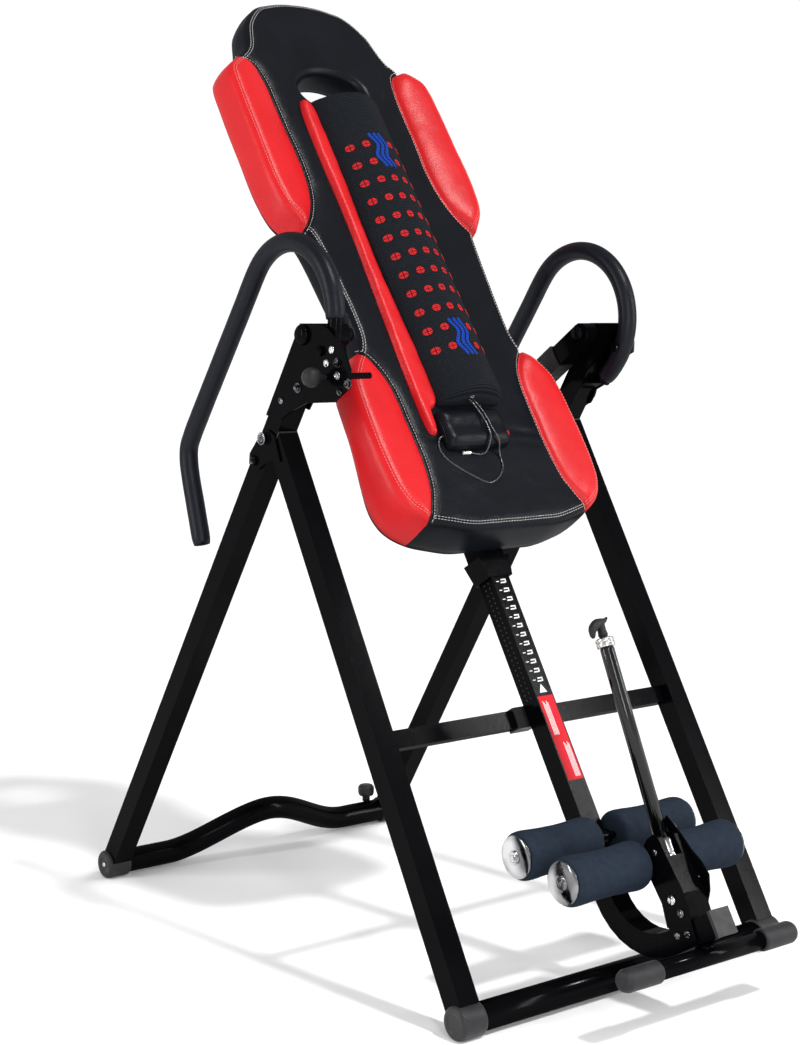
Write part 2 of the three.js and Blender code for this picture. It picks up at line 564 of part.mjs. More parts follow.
// Lever with a bright collar, and the curved pull grip that slides in it.
const LEVER_LENGTH = 313;
add('lever_tube', upLever([[0, 0], [11.75, 0], [11.75, LEVER_LENGTH], [0, LEVER_LENGTH]]),
  BLACK_STEEL);
add('lever_collar', upLever(
  [[6.6, LEVER_LENGTH + GAP], [15, LEVER_LENGTH + GAP], [15.5, 318], [15.5, 326], [13, 329],
    [6.6, 329], [6.6, LEVER_LENGTH + GAP]]), BRIGHT_STEEL);
const GRIP = { centre: 335, r: 22, tilt: 25 };
const gripArc = [15, 40, 65, 90, 115, 140, 165].map((degrees) => {
  const angle = THREE.MathUtils.degToRad(degrees + GRIP.tilt);
  return [GRIP.r * Math.cos(angle), GRIP.centre + GRIP.r * Math.sin(angle), 0];
});
add('pull_grip', joined(
  swept(gripArc, 6.5, 8, 8).applyMatrix4(leverFrame),
  upLever([[0, LEVER_LENGTH + 2], [5.5, LEVER_LENGTH + 2], [5.5, 330], [8, 334], [8, 352],
    [0, 356]])), DARK_PLASTIC);

export default table;
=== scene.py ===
"""Looks of the inversion table: upholstery, foam, powder coat, chrome, cords, floor and light.

Lengths in the tables below are millimetres in the drawing's frame, as in the CAD model; every
object is built in metres in the row frame. The bed has its own frame: x across, a up the bed,
n out of its front. The boom's is x across, v up the boom, w out of its front.
"""
import json
import math

import bmesh
import bpy
import numpy as np
from mathutils import Matrix, Vector, noise
from mathutils.geometry import delaunay_2d_cdt

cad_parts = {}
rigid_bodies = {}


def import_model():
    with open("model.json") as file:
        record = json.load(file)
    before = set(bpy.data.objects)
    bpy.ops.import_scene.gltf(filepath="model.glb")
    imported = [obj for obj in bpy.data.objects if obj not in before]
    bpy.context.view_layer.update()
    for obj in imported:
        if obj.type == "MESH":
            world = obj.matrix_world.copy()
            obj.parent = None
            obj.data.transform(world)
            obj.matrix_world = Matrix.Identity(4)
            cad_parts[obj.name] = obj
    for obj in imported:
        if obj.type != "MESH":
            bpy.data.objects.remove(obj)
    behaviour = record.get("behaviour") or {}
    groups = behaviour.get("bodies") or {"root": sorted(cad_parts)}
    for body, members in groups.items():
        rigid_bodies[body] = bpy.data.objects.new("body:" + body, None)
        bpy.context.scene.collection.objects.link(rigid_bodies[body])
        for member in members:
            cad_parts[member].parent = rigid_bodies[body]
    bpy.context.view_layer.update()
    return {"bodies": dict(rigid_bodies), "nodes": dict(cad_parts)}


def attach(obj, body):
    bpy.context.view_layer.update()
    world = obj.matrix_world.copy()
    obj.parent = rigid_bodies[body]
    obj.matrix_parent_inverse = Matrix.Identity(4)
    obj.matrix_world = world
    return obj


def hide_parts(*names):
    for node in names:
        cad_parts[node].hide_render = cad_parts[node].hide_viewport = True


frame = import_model()

# ---------- frames and driving dimensions ----------
MM = 0.001
SHIFT_X, SHIFT_Y = 15, -424.84
BED_ORIGIN, BED_TILT = (0, 268, 744), 34.3
BOOM_ORIGIN, BOOM_TILT = (0, -27.9, 54.2), 31.3
LEVER_ORIGIN, LEVER_TILT = (0, -82, 262), math.degrees(math.atan2(129, 290))


def tilted_frame(origin, tilt_degrees):
    """Matrix of a frame leaning back: local X across, Y up along it, Z out of its front."""
    s, c = math.sin(math.radians(tilt_degrees)), math.cos(math.radians(tilt_degrees))
    x, y, z = origin
    matrix = Matrix(((1, 0, 0, x + SHIFT_X), (0, s, -c, y + SHIFT_Y), (0, c, s, z),
                     (0, 0, 0, 1)))
    matrix.translation *= MM
    return matrix


BED = tilted_frame(BED_ORIGIN, BED_TILT)
BOOM = tilted_frame(BOOM_ORIGIN, BOOM_TILT)
LEVER = tilted_frame(LEVER_ORIGIN, LEVER_TILT)
ROW = Matrix.Translation((SHIFT_X * MM, SHIFT_Y * MM, 0))


# ---------- camera ----------
CAMERA_PLACE = (-2088.4, -2076.2, 1068.2)
CAMERA_YAW, CAMERA_PITCH = math.radians(38.205), math.radians(-6.171)
SENSOR_HEIGHT, LENS = 36, 64.88


def aim(made, direction):
    """Turns a camera or light to look along a direction."""
    made.rotation_euler = Vector(direction).to_track_quat("-Z", "Y").to_euler()


def add_camera():
    """Eye-height view from the front left, with the floor bar's near end towards the viewer."""
    camera = bpy.data.objects.new("camera", bpy.data.cameras.new("camera"))
    camera.location = ROW @ (Vector(CAMERA_PLACE) * MM)
    level = math.cos(CAMERA_PITCH)
    aim(camera, (math.sin(CAMERA_YAW) * level, math.cos(CAMERA_YAW) * level,
                 math.sin(CAMERA_PITCH)))
    camera.data.sensor_fit = "VERTICAL"
    camera.data.sensor_height = SENSOR_HEIGHT
    camera.data.lens = LENS
    bpy.context.collection.objects.link(camera)
    bpy.context.scene.camera = camera


# ---------- materials ----------
class Shader:
    """A node material under construction: a Principled shader and helpers for its inputs.

    A gloss above 0 replaces the body's own reflection by a thin film of that weight, which keeps
    black surfaces dark at grazing angles.
    """

    def __init__(self, name, color, roughness, gloss=0.0, **inputs):
        self.material = bpy.data.materials.new(name)
        self.material.use_nodes = True
        self.nodes = self.material.node_tree.nodes
        self.links = self.material.node_tree.links
        self.shader = self.nodes["Principled BSDF"]
        self.set("Base Color", (*color, 1))
        self.set("Roughness", roughness)
        for key, value in inputs.items():
            self.set(key.replace("_", " "), value)
        self.film = gloss > 0
        if self.film:
            self.set("Specular IOR Level", 0)
            self.set("Coat Weight", gloss)
            self.set("Coat Roughness", roughness)
        self.coordinates = self.nodes.new("ShaderNodeTexCoord").outputs["Object"]
        self.normal = None

    def set(self, socket, value):
        self.shader.inputs[socket].default_value = value

    def feed(self, socket, value):
        """Sets a socket, or links it where the value is another node's output."""
        if isinstance(value, bpy.types.NodeSocket):
            self.links.new(value, socket)
        else:
            socket.default_value = value

    def node(self, kind, settings=(), **inputs):
        made = self.nodes.new(kind)
        for key, value in dict(settings).items():
            setattr(made, key, value)
        for key, value in inputs.items():
            self.feed(made.inputs[key.replace("_", " ")], value)
        return made

    def mapped(self, scale):
        return self.node("ShaderNodeMapping", Vector=self.coordinates,
                         Scale=scale).outputs["Vector"]

    def noise(self, scale, detail=3, stretch=(1, 1, 1)):
        made = self.node("ShaderNodeTexNoise", Vector=self.mapped(stretch), Scale=scale,
                         Detail=detail, Roughness=0.55)
        return made.outputs["Fac"]

    def cells(self, scale, feature="F1"):
        made = self.node("ShaderNodeTexVoronoi", {"feature": feature},
                         Vector=self.coordinates, Scale=scale)
        return made.outputs["Distance"]

    def wave(self, scale, axis, distortion=0.0):
        made = self.node("ShaderNodeTexWave", {"bands_direction": axis},
                         Vector=self.coordinates, Scale=scale, Distortion=distortion)
        return made.outputs["Fac"]

    def ramp(self, value, low, high, start=0.0, end=1.0):
        """Number that runs from low to high as value goes from start to end."""
        made = self.node("ShaderNodeMapRange", Value=value, From_Min=start, From_Max=end,
                         To_Min=low, To_Max=high)
        return made.outputs["Result"]

    def math(self, operation, a, b):
        made = self.node("ShaderNodeMath", {"operation": operation})
        self.feed(made.inputs[0], a)
        self.feed(made.inputs[1], b)
        return made.outputs[0]

    def bump(self, height, strength, distance):
        """Relief, on top of any that is there already."""
        inputs = {} if self.normal is None else {"Normal": self.normal}
        made = self.node("ShaderNodeBump", Height=height, Strength=strength,
                         Distance=distance, **inputs)
        self.normal = made.outputs["Normal"]
        self.links.new(self.normal, self.shader.inputs["Normal"])
        if self.film:
            self.links.new(self.normal, self.shader.inputs["Coat Normal"])

    def tint(self, value, dark, light):
        """Colour that runs from dark to light with value."""
        made = self.node("ShaderNodeMix", {"data_type": "RGBA"}, Factor=value)
        # the colour sockets of a Mix node sit behind the float and vector ones
        made.inputs[6].default_value = (*dark, 1)
        made.inputs[7].default_value = (*light, 1)
        self.links.new(made.outputs[2], self.shader.inputs["Base Color"])

    def roughness(self, value):
        self.links.new(value, self.shader.inputs["Roughness"])


def powder_coat(name, gloss, roughness, peel):
    """Gloss black powder coat: faint orange peel and slow changes of tone."""
    s = Shader(name, (0.002, 0.002, 0.003), roughness, gloss)
    s.tint(s.noise(14, 4), (0.0006, 0.0007, 0.0010), (0.0020, 0.0020, 0.0026))
    s.bump(s.noise(900, 2), peel, 0.0004)
    return s.material


def plated(name, dark, light, scale=24):
    """Bright plating with mottled grey patches painted into its colour: a painted reflection of
    the surroundings that polished caps mirror.
    """
    s = Shader(name, light, 0.1, Metallic=1.0)
    # darker patches in the plating's colour: painted reflection
    painted_reflection_patches = s.noise(scale, 1, (1, 0.6, 0.6))
    s.tint(s.ramp(painted_reflection_patches, 0, 1, 0.42, 0.6), dark, light)
    s.roughness(s.ramp(s.noise(60, 4), 0.06, 0.2, 0.3, 0.7))
    s.bump(s.noise(90, 2), 0.12, 0.0012)
    return s.material


def nickel():
    s = Shader("brushed nickel", (0.50, 0.49, 0.46), 0.25, Metallic=1.0)
    s.roughness(s.ramp(s.noise(400, 3, (1, 1, 0.05)), 0.18, 0.34, 0.3, 0.7))
    s.bump(s.noise(900, 2, (1, 1, 0.08)), 0.08, 0.0003)
    return s.material


def moulded(name, dark, light, roughness=0.5, shine=0.22):
    """Injection-moulded plastic with a fine spark-eroded grain."""
    s = Shader(name, light, roughness, Specular_IOR_Level=shine)
    s.tint(s.noise(40, 4), dark, light)
    s.roughness(s.ramp(s.noise(80, 3), roughness - 0.08, roughness + 0.12, 0.3, 0.7))
    s.bump(s.cells(1400), 0.25, 0.0003)
    return s.material


def foam(name, dark, light, grain, roughness, shine):
    """Closed-cell foam: pores and soft mottling."""
    s = Shader(name, light, roughness, shine)
    s.tint(s.noise(grain, 5), dark, light)
    s.bump(s.noise(grain * 5, 3), 0.3, 0.0008)
    s.bump(s.cells(grain * 9), 0.25, 0.0004)
    return s.material


def leather(name, dark, light, roughness, shine):
    """Leatherette: pebble grain of cells, fine pores and slow changes of tone and gloss."""
    s = Shader(name, light, roughness, shine)
    s.tint(s.noise(9, 5), dark, light)
    s.roughness(s.ramp(s.noise(24, 4), roughness - 0.07, roughness + 0.1, 0.3, 0.7))
    s.bump(s.noise(26, 3), 0.25, 0.0022)
    s.bump(s.cells(520, "SMOOTH_F1"), 0.4, 0.0006)
    s.bump(s.noise(1500, 2), 0.15, 0.0002)
    return s.material


def ribbed_fabric():
    """Black knit with rounded ribs across the pad and a finer weave along them; its colour darkens
    in the grooves between the ribs, a painted shade.
    """
    s = Shader("ribbed black fabric", (0.012, 0.014, 0.018), 0.95, Specular_IOR_Level=0.08)
    ribs = s.wave(95, "Y", 0.4)
    weave = s.wave(170, "X", 1.5)
    height = s.math("ADD", ribs, s.math("MULTIPLY", weave, 0.5))
    # colour follows the rib height times random tone: painted shade in the grooves
    s.tint(s.math("MULTIPLY", height, s.ramp(s.noise(120, 4), 0.4, 0.9)),
           (0.002, 0.0025, 0.0035), (0.016, 0.019, 0.024))
    s.bump(height, 0.8, 0.0012)
    s.bump(s.noise(700, 3), 0.3, 0.0006)
    return s.material


def printed(name, color):
    """Ink printed on the ribbed fabric, broken up by the weave below it, with painted shade
    darkening it where the weave dips.
    """
    s = Shader(name, color, 0.8, Specular_IOR_Level=0.1)
    weave = s.math("MULTIPLY", s.wave(95, "Y", 0.4), s.wave(170, "X", 1.5))
    # ink darkened in the weave's grooves: painted shade
    s.tint(s.ramp(weave, 0.0, 1.0, 0.0, 0.35), tuple(c * 0.35 for c in color), color)
    s.bump(weave, 0.6, 0.0006)
    return s.material


def thread(name, color):
    s = Shader(name, color, 0.7, Sheen_Weight=0.2)
    s.tint(s.noise(300, 3), tuple(c * 0.6 for c in color), color)
    s.bump(s.wave(900, "DIAGONAL"), 0.5, 0.0003)
    return s.material


def label(name, color):
    s = Shader(name, color, 0.4, Specular_IOR_Level=0.1)
    s.tint(s.noise(60, 3), tuple(c * 0.85 for c in color), color)
    s.bump(s.noise(400, 2), 0.05, 0.0002)
    return s.material


STEEL = powder_coat("black powder coat", 0.09, 0.14, 0.12)
GLOSS_STEEL = powder_coat("polished black tube", 0.8, 0.12, 0.01)
CHROME = plated("bright chrome", (0.16, 0.16, 0.165), (0.62, 0.62, 0.63))
GUNMETAL = plated("dark plated steel", (0.012, 0.012, 0.013), (0.16, 0.16, 0.165), 160)
NICKEL = nickel()
BLACK_PLASTIC = moulded("black moulded plastic", (0.006, 0.006, 0.007), (0.014, 0.014, 0.015))
GREY_PLASTIC = moulded("grey moulded plastic", (0.013, 0.013, 0.014), (0.026, 0.026, 0.028), 0.4)
DARK_GREY_PLASTIC = moulded("dark grey plastic", (0.010, 0.010, 0.011), (0.022, 0.022, 0.024))
GRIP_FOAM = foam("rail foam", (0.002, 0.0025, 0.0045), (0.006, 0.007, 0.012), 70, 0.36, 0.3)
ROLLER_FOAM = foam("roller foam", (0.007, 0.0115, 0.020), (0.018, 0.026, 0.040), 90, 0.8, 0.2)
BLACK_LEATHER = leather("black leatherette", (0.002, 0.0026, 0.004), (0.006, 0.0072, 0.010),
                        0.3, 0.2)
RED_LEATHER = leather("red leatherette", (0.40, 0.006, 0.009), (0.55, 0.012, 0.015), 0.34, 0.4)
FABRIC = ribbed_fabric()
RED_INK = printed("red ink", (0.62, 0.02, 0.025))
BLUE_INK = printed("blue ink", (0.006, 0.05, 0.36))
WHITE_THREAD = thread("pale thread", (0.62, 0.60, 0.58))
RED_THREAD = thread("pink thread", (0.80, 0.22, 0.20))
RED_LABEL = label("red label", (0.52, 0.006, 0.016))
WHITE_LABEL = label("white print", (0.78, 0.78, 0.78))
CORD = moulded("cord vinyl", (0.004, 0.004, 0.005), (0.010, 0.010, 0.012), 0.22, 0.7)


# ---------- mesh helpers ----------
STITCH_PITCH, STITCH_LENGTH, THREAD_R = 6, 4.4, 0.5


def catmull(points, step):
    """Centripetal Catmull-Rom through the points, sampled about every step."""
    p = [np.array(q, float) for q in points]
    p = [2 * p[0] - p[1], *p, 2 * p[-1] - p[-2]]
    out = []
    for p0, p1, p2, p3 in zip(p, p[1:], p[2:], p[3:]):
        t1 = math.sqrt(np.linalg.norm(p1 - p0))
        t2 = t1 + math.sqrt(np.linalg.norm(p2 - p1))
        t3 = t2 + math.sqrt(np.linalg.norm(p3 - p2))
        count = max(2, round(np.linalg.norm(p2 - p1) / step))
        for t in np.linspace(t1, t2, count, endpoint=False):
            a1 = (t1 - t) / t1 * p0 + t / t1 * p1
            a2 = (t2 - t) / (t2 - t1) * p1 + (t - t1) / (t2 - t1) * p2
            a3 = (t3 - t) / (t3 - t2) * p2 + (t - t2) / (t3 - t2) * p3
            b1 = (t2 - t) / t2 * a1 + t / t2 * a2
            b2 = (t3 - t) / (t3 - t1) * a2 + (t - t1) / (t3 - t1) * a3
            out.append((t2 - t) / (t2 - t1) * b1 + (t - t1) / (t2 - t1) * b2)
    out.append(p[-2])
    return np.array(out)


def piece(name, verts, faces, place, materials, body, replaces=(), slot=None, indices=None):
    """A smooth mesh object from millimetre vertices in a local frame, riding on its body."""
    mesh = bpy.data.meshes.new(name)
    mesh.from_pydata([tuple(v * MM for v in vert) for vert in verts], [],
                     [tuple(int(i) for i in face) for face in faces])
    for material in materials if isinstance(materials, (list, tuple)) else [materials]:
        mesh.materials.append(material)
    if indices is not None:
        mesh.polygons.foreach_set("material_index", indices)
    mesh.polygons.foreach_set("use_smooth", [True] * len(mesh.polygons))
    mesh.validate()
    mesh.update()
    made = bpy.data.objects.new(name, mesh)
    bpy.context.collection.objects.link(made)
    made.matrix_world = place
    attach(made, body)
    if replaces:
        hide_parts(*([replaces] if isinstance(replaces, str) else replaces))
    return made


def grid_faces(rows, columns, closed_columns=False, start=0):
    """Quads over rows of vertices, numbered from start."""
    faces = []
    for row in range(start, start + (rows - 1) * columns, columns):
        for j in range(columns if closed_columns else columns - 1):
            beside = row + (j + 1) % columns
            faces.append((row + j, beside, beside + columns, row + j + columns))
    return faces


def lathe(profile, center, axis="X", sides=48):
    """Turned solid from rows (radius, position along the axis) through a point of the frame."""
    verts = []
    for r, t in profile:
        for p, q in ring_of(r, r, sides, end=False):
            x, y, z = {"X": (t, p, q), "Y": (q, t, p), "Z": (p, q, t)}[axis]
            verts.append((x + center[0], y + center[1], z + center[2]))
    last = (len(profile) - 1) * sides
    walls = grid_faces(len(profile), sides, closed_columns=True)
    ends = [tuple(range(sides))[::-1], tuple(range(last, last + sides))]
    if profile[0][1] > profile[-1][1]:
        walls = [face[::-1] for face in walls]
    if profile[0][1] >= profile[-1][1]:
        ends = [face[::-1] for face in ends]
    return verts, walls + ends


def rounded(profile, radius=1.0, steps=3):
    """The profile with each inner corner replaced by a small arc of quadratic steps."""
    out = [profile[0]]
    for before, corner, after in zip(profile, profile[1:], profile[2:]):
        b, c, a = (np.array(q, float) for q in (before, corner, after))
        cut = min(radius, np.linalg.norm(b - c) / 2.2, np.linalg.norm(a - c) / 2.2)
        start = c + (b - c) / max(np.linalg.norm(b - c), 1e-6) * cut
        end = c + (a - c) / max(np.linalg.norm(a - c), 1e-6) * cut
        for t in np.linspace(0, 1, steps + 1):
            out.append(tuple((1 - t) ** 2 * start + 2 * t * (1 - t) * c + t * t * end))
    return out + [profile[-1]]


def sweep(path, radii, sides=24):
    """Tube along a path with one radius, or one for each point, closed at both ends."""
    path = np.array(path, float)
    radii = np.full(len(path), radii) if np.isscalar(radii) else np.array(radii)
    tangents = np.gradient(path, axis=0)
    tangents /= np.linalg.norm(tangents, axis=1)[:, None]
    side = np.cross(tangents[0], (0.3, 0.2, 0.9))
    verts = []
    for point, tangent, radius in zip(path, tangents, radii):
        side = side - tangent * side.dot(tangent)
        side /= np.linalg.norm(side)
        other = np.cross(tangent, side)
        verts += [point + p * side + q * other
                  for p, q in ring_of(radius, radius, sides, end=False)]
    last = (len(path) - 1) * sides
    ends = [tuple(range(sides))[::-1], tuple(range(last, last + sides))]
    return verts, grid_faces(len(path), sides, closed_columns=True) + ends


def ring_of(radius_a, radius_b, count, end=True):
    """Points of an ellipse, from its first axis round; the last one repeats the first."""
    return [(radius_a * math.cos(t), radius_b * math.sin(t))
            for t in np.linspace(0, 2 * math.pi, count, endpoint=end)]


def joined(parts):
    """Several (verts, faces) as one."""
    verts, faces = [], []
    for more_verts, more_faces in parts:
        faces += [tuple(i + len(verts) for i in face) for face in more_faces]
        verts += list(more_verts)
    return verts, faces


def mirrored(shape):
    verts, faces = shape
    return [(-v[0], v[1], v[2]) for v in verts], [face[::-1] for face in faces]


def pair(name, shape, place, materials, body, replaces=(), slot=None):
    """The right-hand piece as built and its mirror image; body may differ per side."""
    for side, turned in (("right", shape), ("left", mirrored(shape))):
        on = f"{body}_{side}" if f"{body}_{side}" in frame["bodies"] else body
        nodes = [f"{node}_{side}" for node in replaces]
        piece(f"{name}_{side}", *turned, place, materials, on, nodes, slot)


def distance_to(points, line, closed=True):
    """Distance of each 2-D point to a line of points."""
    starts = np.array(line, float)
    ends = np.roll(starts, -1, axis=0)
    if not closed:
        starts, ends = starts[:-1], ends[:-1]
    best = np.full(len(points), 1e9)
    for p, d in zip(starts, ends - starts):
        t = np.clip(((points - p) @ d) / max(d @ d, 1e-9), 0, 1)
        best = np.minimum(best, np.linalg.norm(points - p - t[:, None] * d, axis=1))
    return best


def sideways(line, closed=False):
    """Unit vectors in the plane of the bed, to the right of a line's direction."""
    along = (np.roll(line, -1, axis=0) - np.roll(line, 1, axis=0) if closed
             else np.gradient(line, axis=0))
    out = np.stack([along[:, 1], -along[:, 0]], axis=1)
    return out / np.linalg.norm(out, axis=1)[:, None]


def inside(points, loop):
    """Whether each 2-D point lies inside the closed loop."""
    a = np.array(loop, float)
    b = np.roll(a, -1, axis=0)
    x, y = points[:, :1], points[:, 1:]
    crosses = (a[:, 1] > y) != (b[:, 1] > y)
    at = a[:, 0] + (y - a[:, 1]) * (b[:, 0] - a[:, 0]) / (b[:, 1] - a[:, 1] + 1e-12)
    return np.sum(crosses & (x < at), axis=1) % 2 == 1


def smooth_loop(points, step):
    """Closed smooth curve through the points, counter-clockwise."""
    p = np.array(points, float)
    loop = catmull([*p[-3:], *p, *p[:3]], step)
    start = np.argmin(np.linalg.norm(loop - p[0], axis=1))
    rest = loop[start + 3:]
    end = start + 3 + np.argmin(np.linalg.norm(rest - p[0], axis=1))
    loop = loop[start:end]
    area = np.sum(loop[:, 0] * np.roll(loop[:, 1], -1) - loop[:, 1] * np.roll(loop[:, 0], -1))
    return loop if area > 0 else loop[::-1]


def triangles(loops, lines, points):
    """Vertices and triangles between the first loop and the others, with edges on the lines."""
    verts, edges = [], []
    for line, closed in [(loop, True) for loop in loops] + [(line, False) for line in lines]:
        first = len(verts)
        verts += [Vector(p) for p in line]
        edges += [(first + i, first + i + 1) for i in range(len(line) - 1)]
        if closed:
            edges.append((len(verts) - 1, first))
    verts += [Vector(p) for p in points]
    made = delaunay_2d_cdt(verts, edges, [], 0, 1e-4)
    at = np.array([tuple(v) for v in made[0]])
    tris = np.array(made[2])
    middle = at[tris].mean(axis=1)
    keep = inside(middle, loops[0])
    for hole in loops[1:]:
        keep &= ~inside(middle, hole)
    return at, tris[keep]


def quilt(loops, seams, height, floor, spacing, bulge=3.0, tuck=8.0, paint=None, extra=()):
    """Upholstered solid: a top surface of the given height, side walls and a flat underside.

    floor(points) and height(points) give n at (x, a) points, paint(points) the material
    index. The extra points carry the tight curves beside edges and seams.
    """
    outline = loops[0]
    least, most = outline.min(axis=0), outline.max(axis=0)
    grid = np.array([(x + (row % 2) * spacing / 2, a)
                     for row, a in enumerate(np.arange(least[1], most[1], spacing * 0.87))
                     for x in np.arange(least[0], most[0], spacing)])
    border = np.min([distance_to(grid, loop) for loop in loops], axis=0)
    keep = inside(grid, outline) & (border > spacing * 0.6)
    for line in seams:
        keep &= distance_to(grid, line, closed=False) > spacing * 0.6
    points = grid[keep]
    if len(extra):
        near = np.array([np.min(np.sum((extra - p) ** 2, axis=1)) for p in points])
        points = np.concatenate([points[near > (spacing * 0.6) ** 2], extra])
    at, tris = triangles(loops, seams, points)
    top = height(at)
    verts = [np.array([*p, n]) for p, n in zip(at, top)]
    faces = [tuple(t) for t in tris]
    indices = list(paint(at[tris].mean(axis=1))) if paint else [0] * len(faces)
    for number, loop in enumerate(loops):
        line = loop if number == 0 else loop[::-1]
        out, crest, base = sideways(line, closed=True), height(line), floor(line)
        start = len(verts)
        rows = np.linspace(0, 1, 7)
        for t in rows:
            push = bulge * math.sin(math.pi * t) - (tuck if t == 1 else 0)
            for p, o, n, low in zip(line, out, crest, base):
                verts.append(np.array([*(p + o * push), n + (low - n) * min(t * 1.1, 1)]))
        walls = grid_faces(len(rows), len(line), closed_columns=True, start=start)
        faces += [wall[::-1] for wall in walls]
        if paint:
            indices += list(np.tile(paint(line * 0.995), len(rows) - 1))
        else:
            indices += [0] * len(walls)
    start = len(verts)
    inner = [loop * (1 - tuck / np.abs(loop).max()) if i == 0 else loop
             for i, loop in enumerate(loops)]
    at, tris = triangles(inner, [], [])
    verts += [np.array([*p, n + 0.3]) for p, n in zip(at, floor(at))]
    faces += [tuple(start + i for i in t[::-1]) for t in tris]
    indices += [0] * len(tris)
    return verts, faces, indices


def weld(made):
    """Joins vertices that lie together."""
    mesh = bmesh.new()
    mesh.from_mesh(made.data)
    bmesh.ops.remove_doubles(mesh, verts=mesh.verts, dist=0.05 * MM)
    mesh.to_mesh(made.data)
    mesh.free()


def resampled(line, pitch):
    """Points a pitch apart along an open line."""
    line = np.array(line, float)
    along = np.concatenate([[0], np.cumsum(np.linalg.norm(np.diff(line, axis=0), axis=1))])
    at = np.arange(pitch / 2, along[-1], pitch)
    return np.stack([np.interp(at, along, line[:, k]) for k in range(line.shape[1])], axis=1)


def stitches(lines, height):
    """Rows of thread stitches that lie on a surface."""
    verts, faces = [], []
    for line in lines:
        middle = resampled(line, STITCH_PITCH)
        along = np.gradient(middle, axis=0)
        along *= STITCH_LENGTH / 2 / np.linalg.norm(along, axis=1)[:, None]
        ends = [np.column_stack([at, height(at)]) for at in (middle - along, middle + along)]
        for start, end in zip(*ends):
            axis = (end - start) / np.linalg.norm(end - start)
            side = np.cross(axis, (0, 0, 1))
            side /= np.linalg.norm(side)
            up = np.cross(side, axis)
            first = len(verts)
            for t, r in ((0, 0.25), (0.2, 1), (0.8, 1), (1, 0.25)):
                core = start + (end - start) * t + THREAD_R * 0.5 * up
                verts += [core + p * side + q * up
                          for p, q in ring_of(THREAD_R * r, THREAD_R * r, 5, end=False)]
            faces += [f[::-1] for f in grid_faces(4, 5, closed_columns=True, start=first)]
    return verts, faces


def bevelled(node, width, material):
    """Rounds the edges of a CAD node and gives it a finish."""
    made = frame["nodes"][node]
    made.data.materials[0] = material
    edge = made.modifiers.new("edges", "BEVEL")
    edge.width = width * MM
    edge.segments = 3
    edge.limit_method = "ANGLE"
    edge.angle_limit = math.radians(40)
    edge.harden_normals = True


# ---------- cords ----------
CORD_R = 2
PAD_LEAD = [
    (-10, 211.6, 25), (-7, 203, 27), (-2, 189, 27.8), (2, 172, 28), (4, 153, 27.8),
    (8, 137, 27), (13, 127.5, 21), (17, 118, 9), (19, 107, 3.2), (17, 92, 2.6), (6, 77, 2.6),
    (-11, 65, 2.6), (-29, 61, 2.6), (-46, 69, 2.6), (-61, 79, 2.6), (-77, 91, 2.6),
    (-91, 104, 2.6), (-100, 117, 2.6), (-104, 130, 3), (-102, 142, 5), (-97, 149, 8),
    (-90, 150, 9)]
PLUG_LEAD = [
    (-18, 211.6, 25), (-15, 203, 27), (-10, 188, 27.8), (-6, 171, 28), (-4, 155, 27.8),
    (-5, 140, 27.2), (-8, 129, 22.5), (-10, 121, 14), (-14, 116, 7), (-22, 115, 3.4),
    (-32, 117, 3.4), (-43.6, 119, 4.4)]


def lead(name, route, node):
    """Thin round lead along its route on the bed."""
    line = catmull(route, 3)
    curve = bpy.data.curves.new(name, "CURVE")
    curve.dimensions = "3D"
    curve.bevel_depth = CORD_R * MM
    curve.bevel_resolution = 3
    curve.use_fill_caps = True
    spline = curve.splines.new("POLY")
    spline.points.add(len(line) - 1)
    for point, place in zip(spline.points, line):
        point.co = (*(place * MM), 1)
    curve.materials.append(CORD)
    made = bpy.data.objects.new(name, curve)
    bpy.context.collection.objects.link(made)
    made.matrix_world = BED
    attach(made, "bed")
    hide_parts(node)


add_camera()
barrel = lathe(rounded([(3, -62), (4, -61), (4, -44.2), (3.4, -44)], 0.4), (0, 119, 4.4), sides=24)
plug = piece("plug_barrel", *barrel, BED, NICKEL, "bed", "lead_plug", "bright_steel")
lead("pad_cord", PAD_LEAD, "pad_lead")
lead("plug_cord", PLUG_LEAD, "plug_lead")

# ---------- bed cushion ----------
CUSHION_HALF = [
    (50, -22), (94, -21), (133, -13), (178, 1), (210, 24), (226, 57), (232, 108), (234, 160),
    (232, 224), (226, 271), (205, 306), (184, 332), (175, 360), (174, 395), (178, 463),
    (190, 572), (200, 590), (222, 624), (232, 680), (232, 770), (231, 859), (224, 927),
    (200, 950), (182, 966), (160, 986), (137, 1046), (100, 1087), (70, 1098), (30, 1106)]
UPPER_SEAM = [(188, 963), (176, 956), (160, 945), (149, 906), (147, 854), (145, 786), (143, 720),
              (146, 676), (154, 643), (170, 609), (194, 578)]
LOWER_SEAM = [(186, 333), (168, 312), (155, 290), (145, 255), (143, 220), (143, 180), (142, 140),
              (143, 105), (149, 65), (158, 40), (168, 18), (177, 1)]
HEAD_SEAM = [(157, 973), (116, 923), (91, 866)]
HOLE_X, HOLE_A = 70, 42
CUSHION_FLOOR, BELLY = -56, 33
EDGE_ROUND = 17
WING_RISE = (0.0, 9.0, 17.0)
SEAM_STITCH, EDGE_STITCHES = 5, (9, 13)


def both_sides(half):
    return [*half, *[(-x, a) for x, a in reversed(half)]]


OUTLINE = smooth_loop(both_sides(CUSHION_HALF), 7)
HOLE = np.array([(x - 4, a + 897) for x, a in ring_of(HOLE_X, HOLE_A, 64, end=False)])
SEAMS = [catmull([(side * x, a) for x, a in seam], 5)
         for seam in (UPPER_SEAM, LOWER_SEAM) for side in (1, -1)]


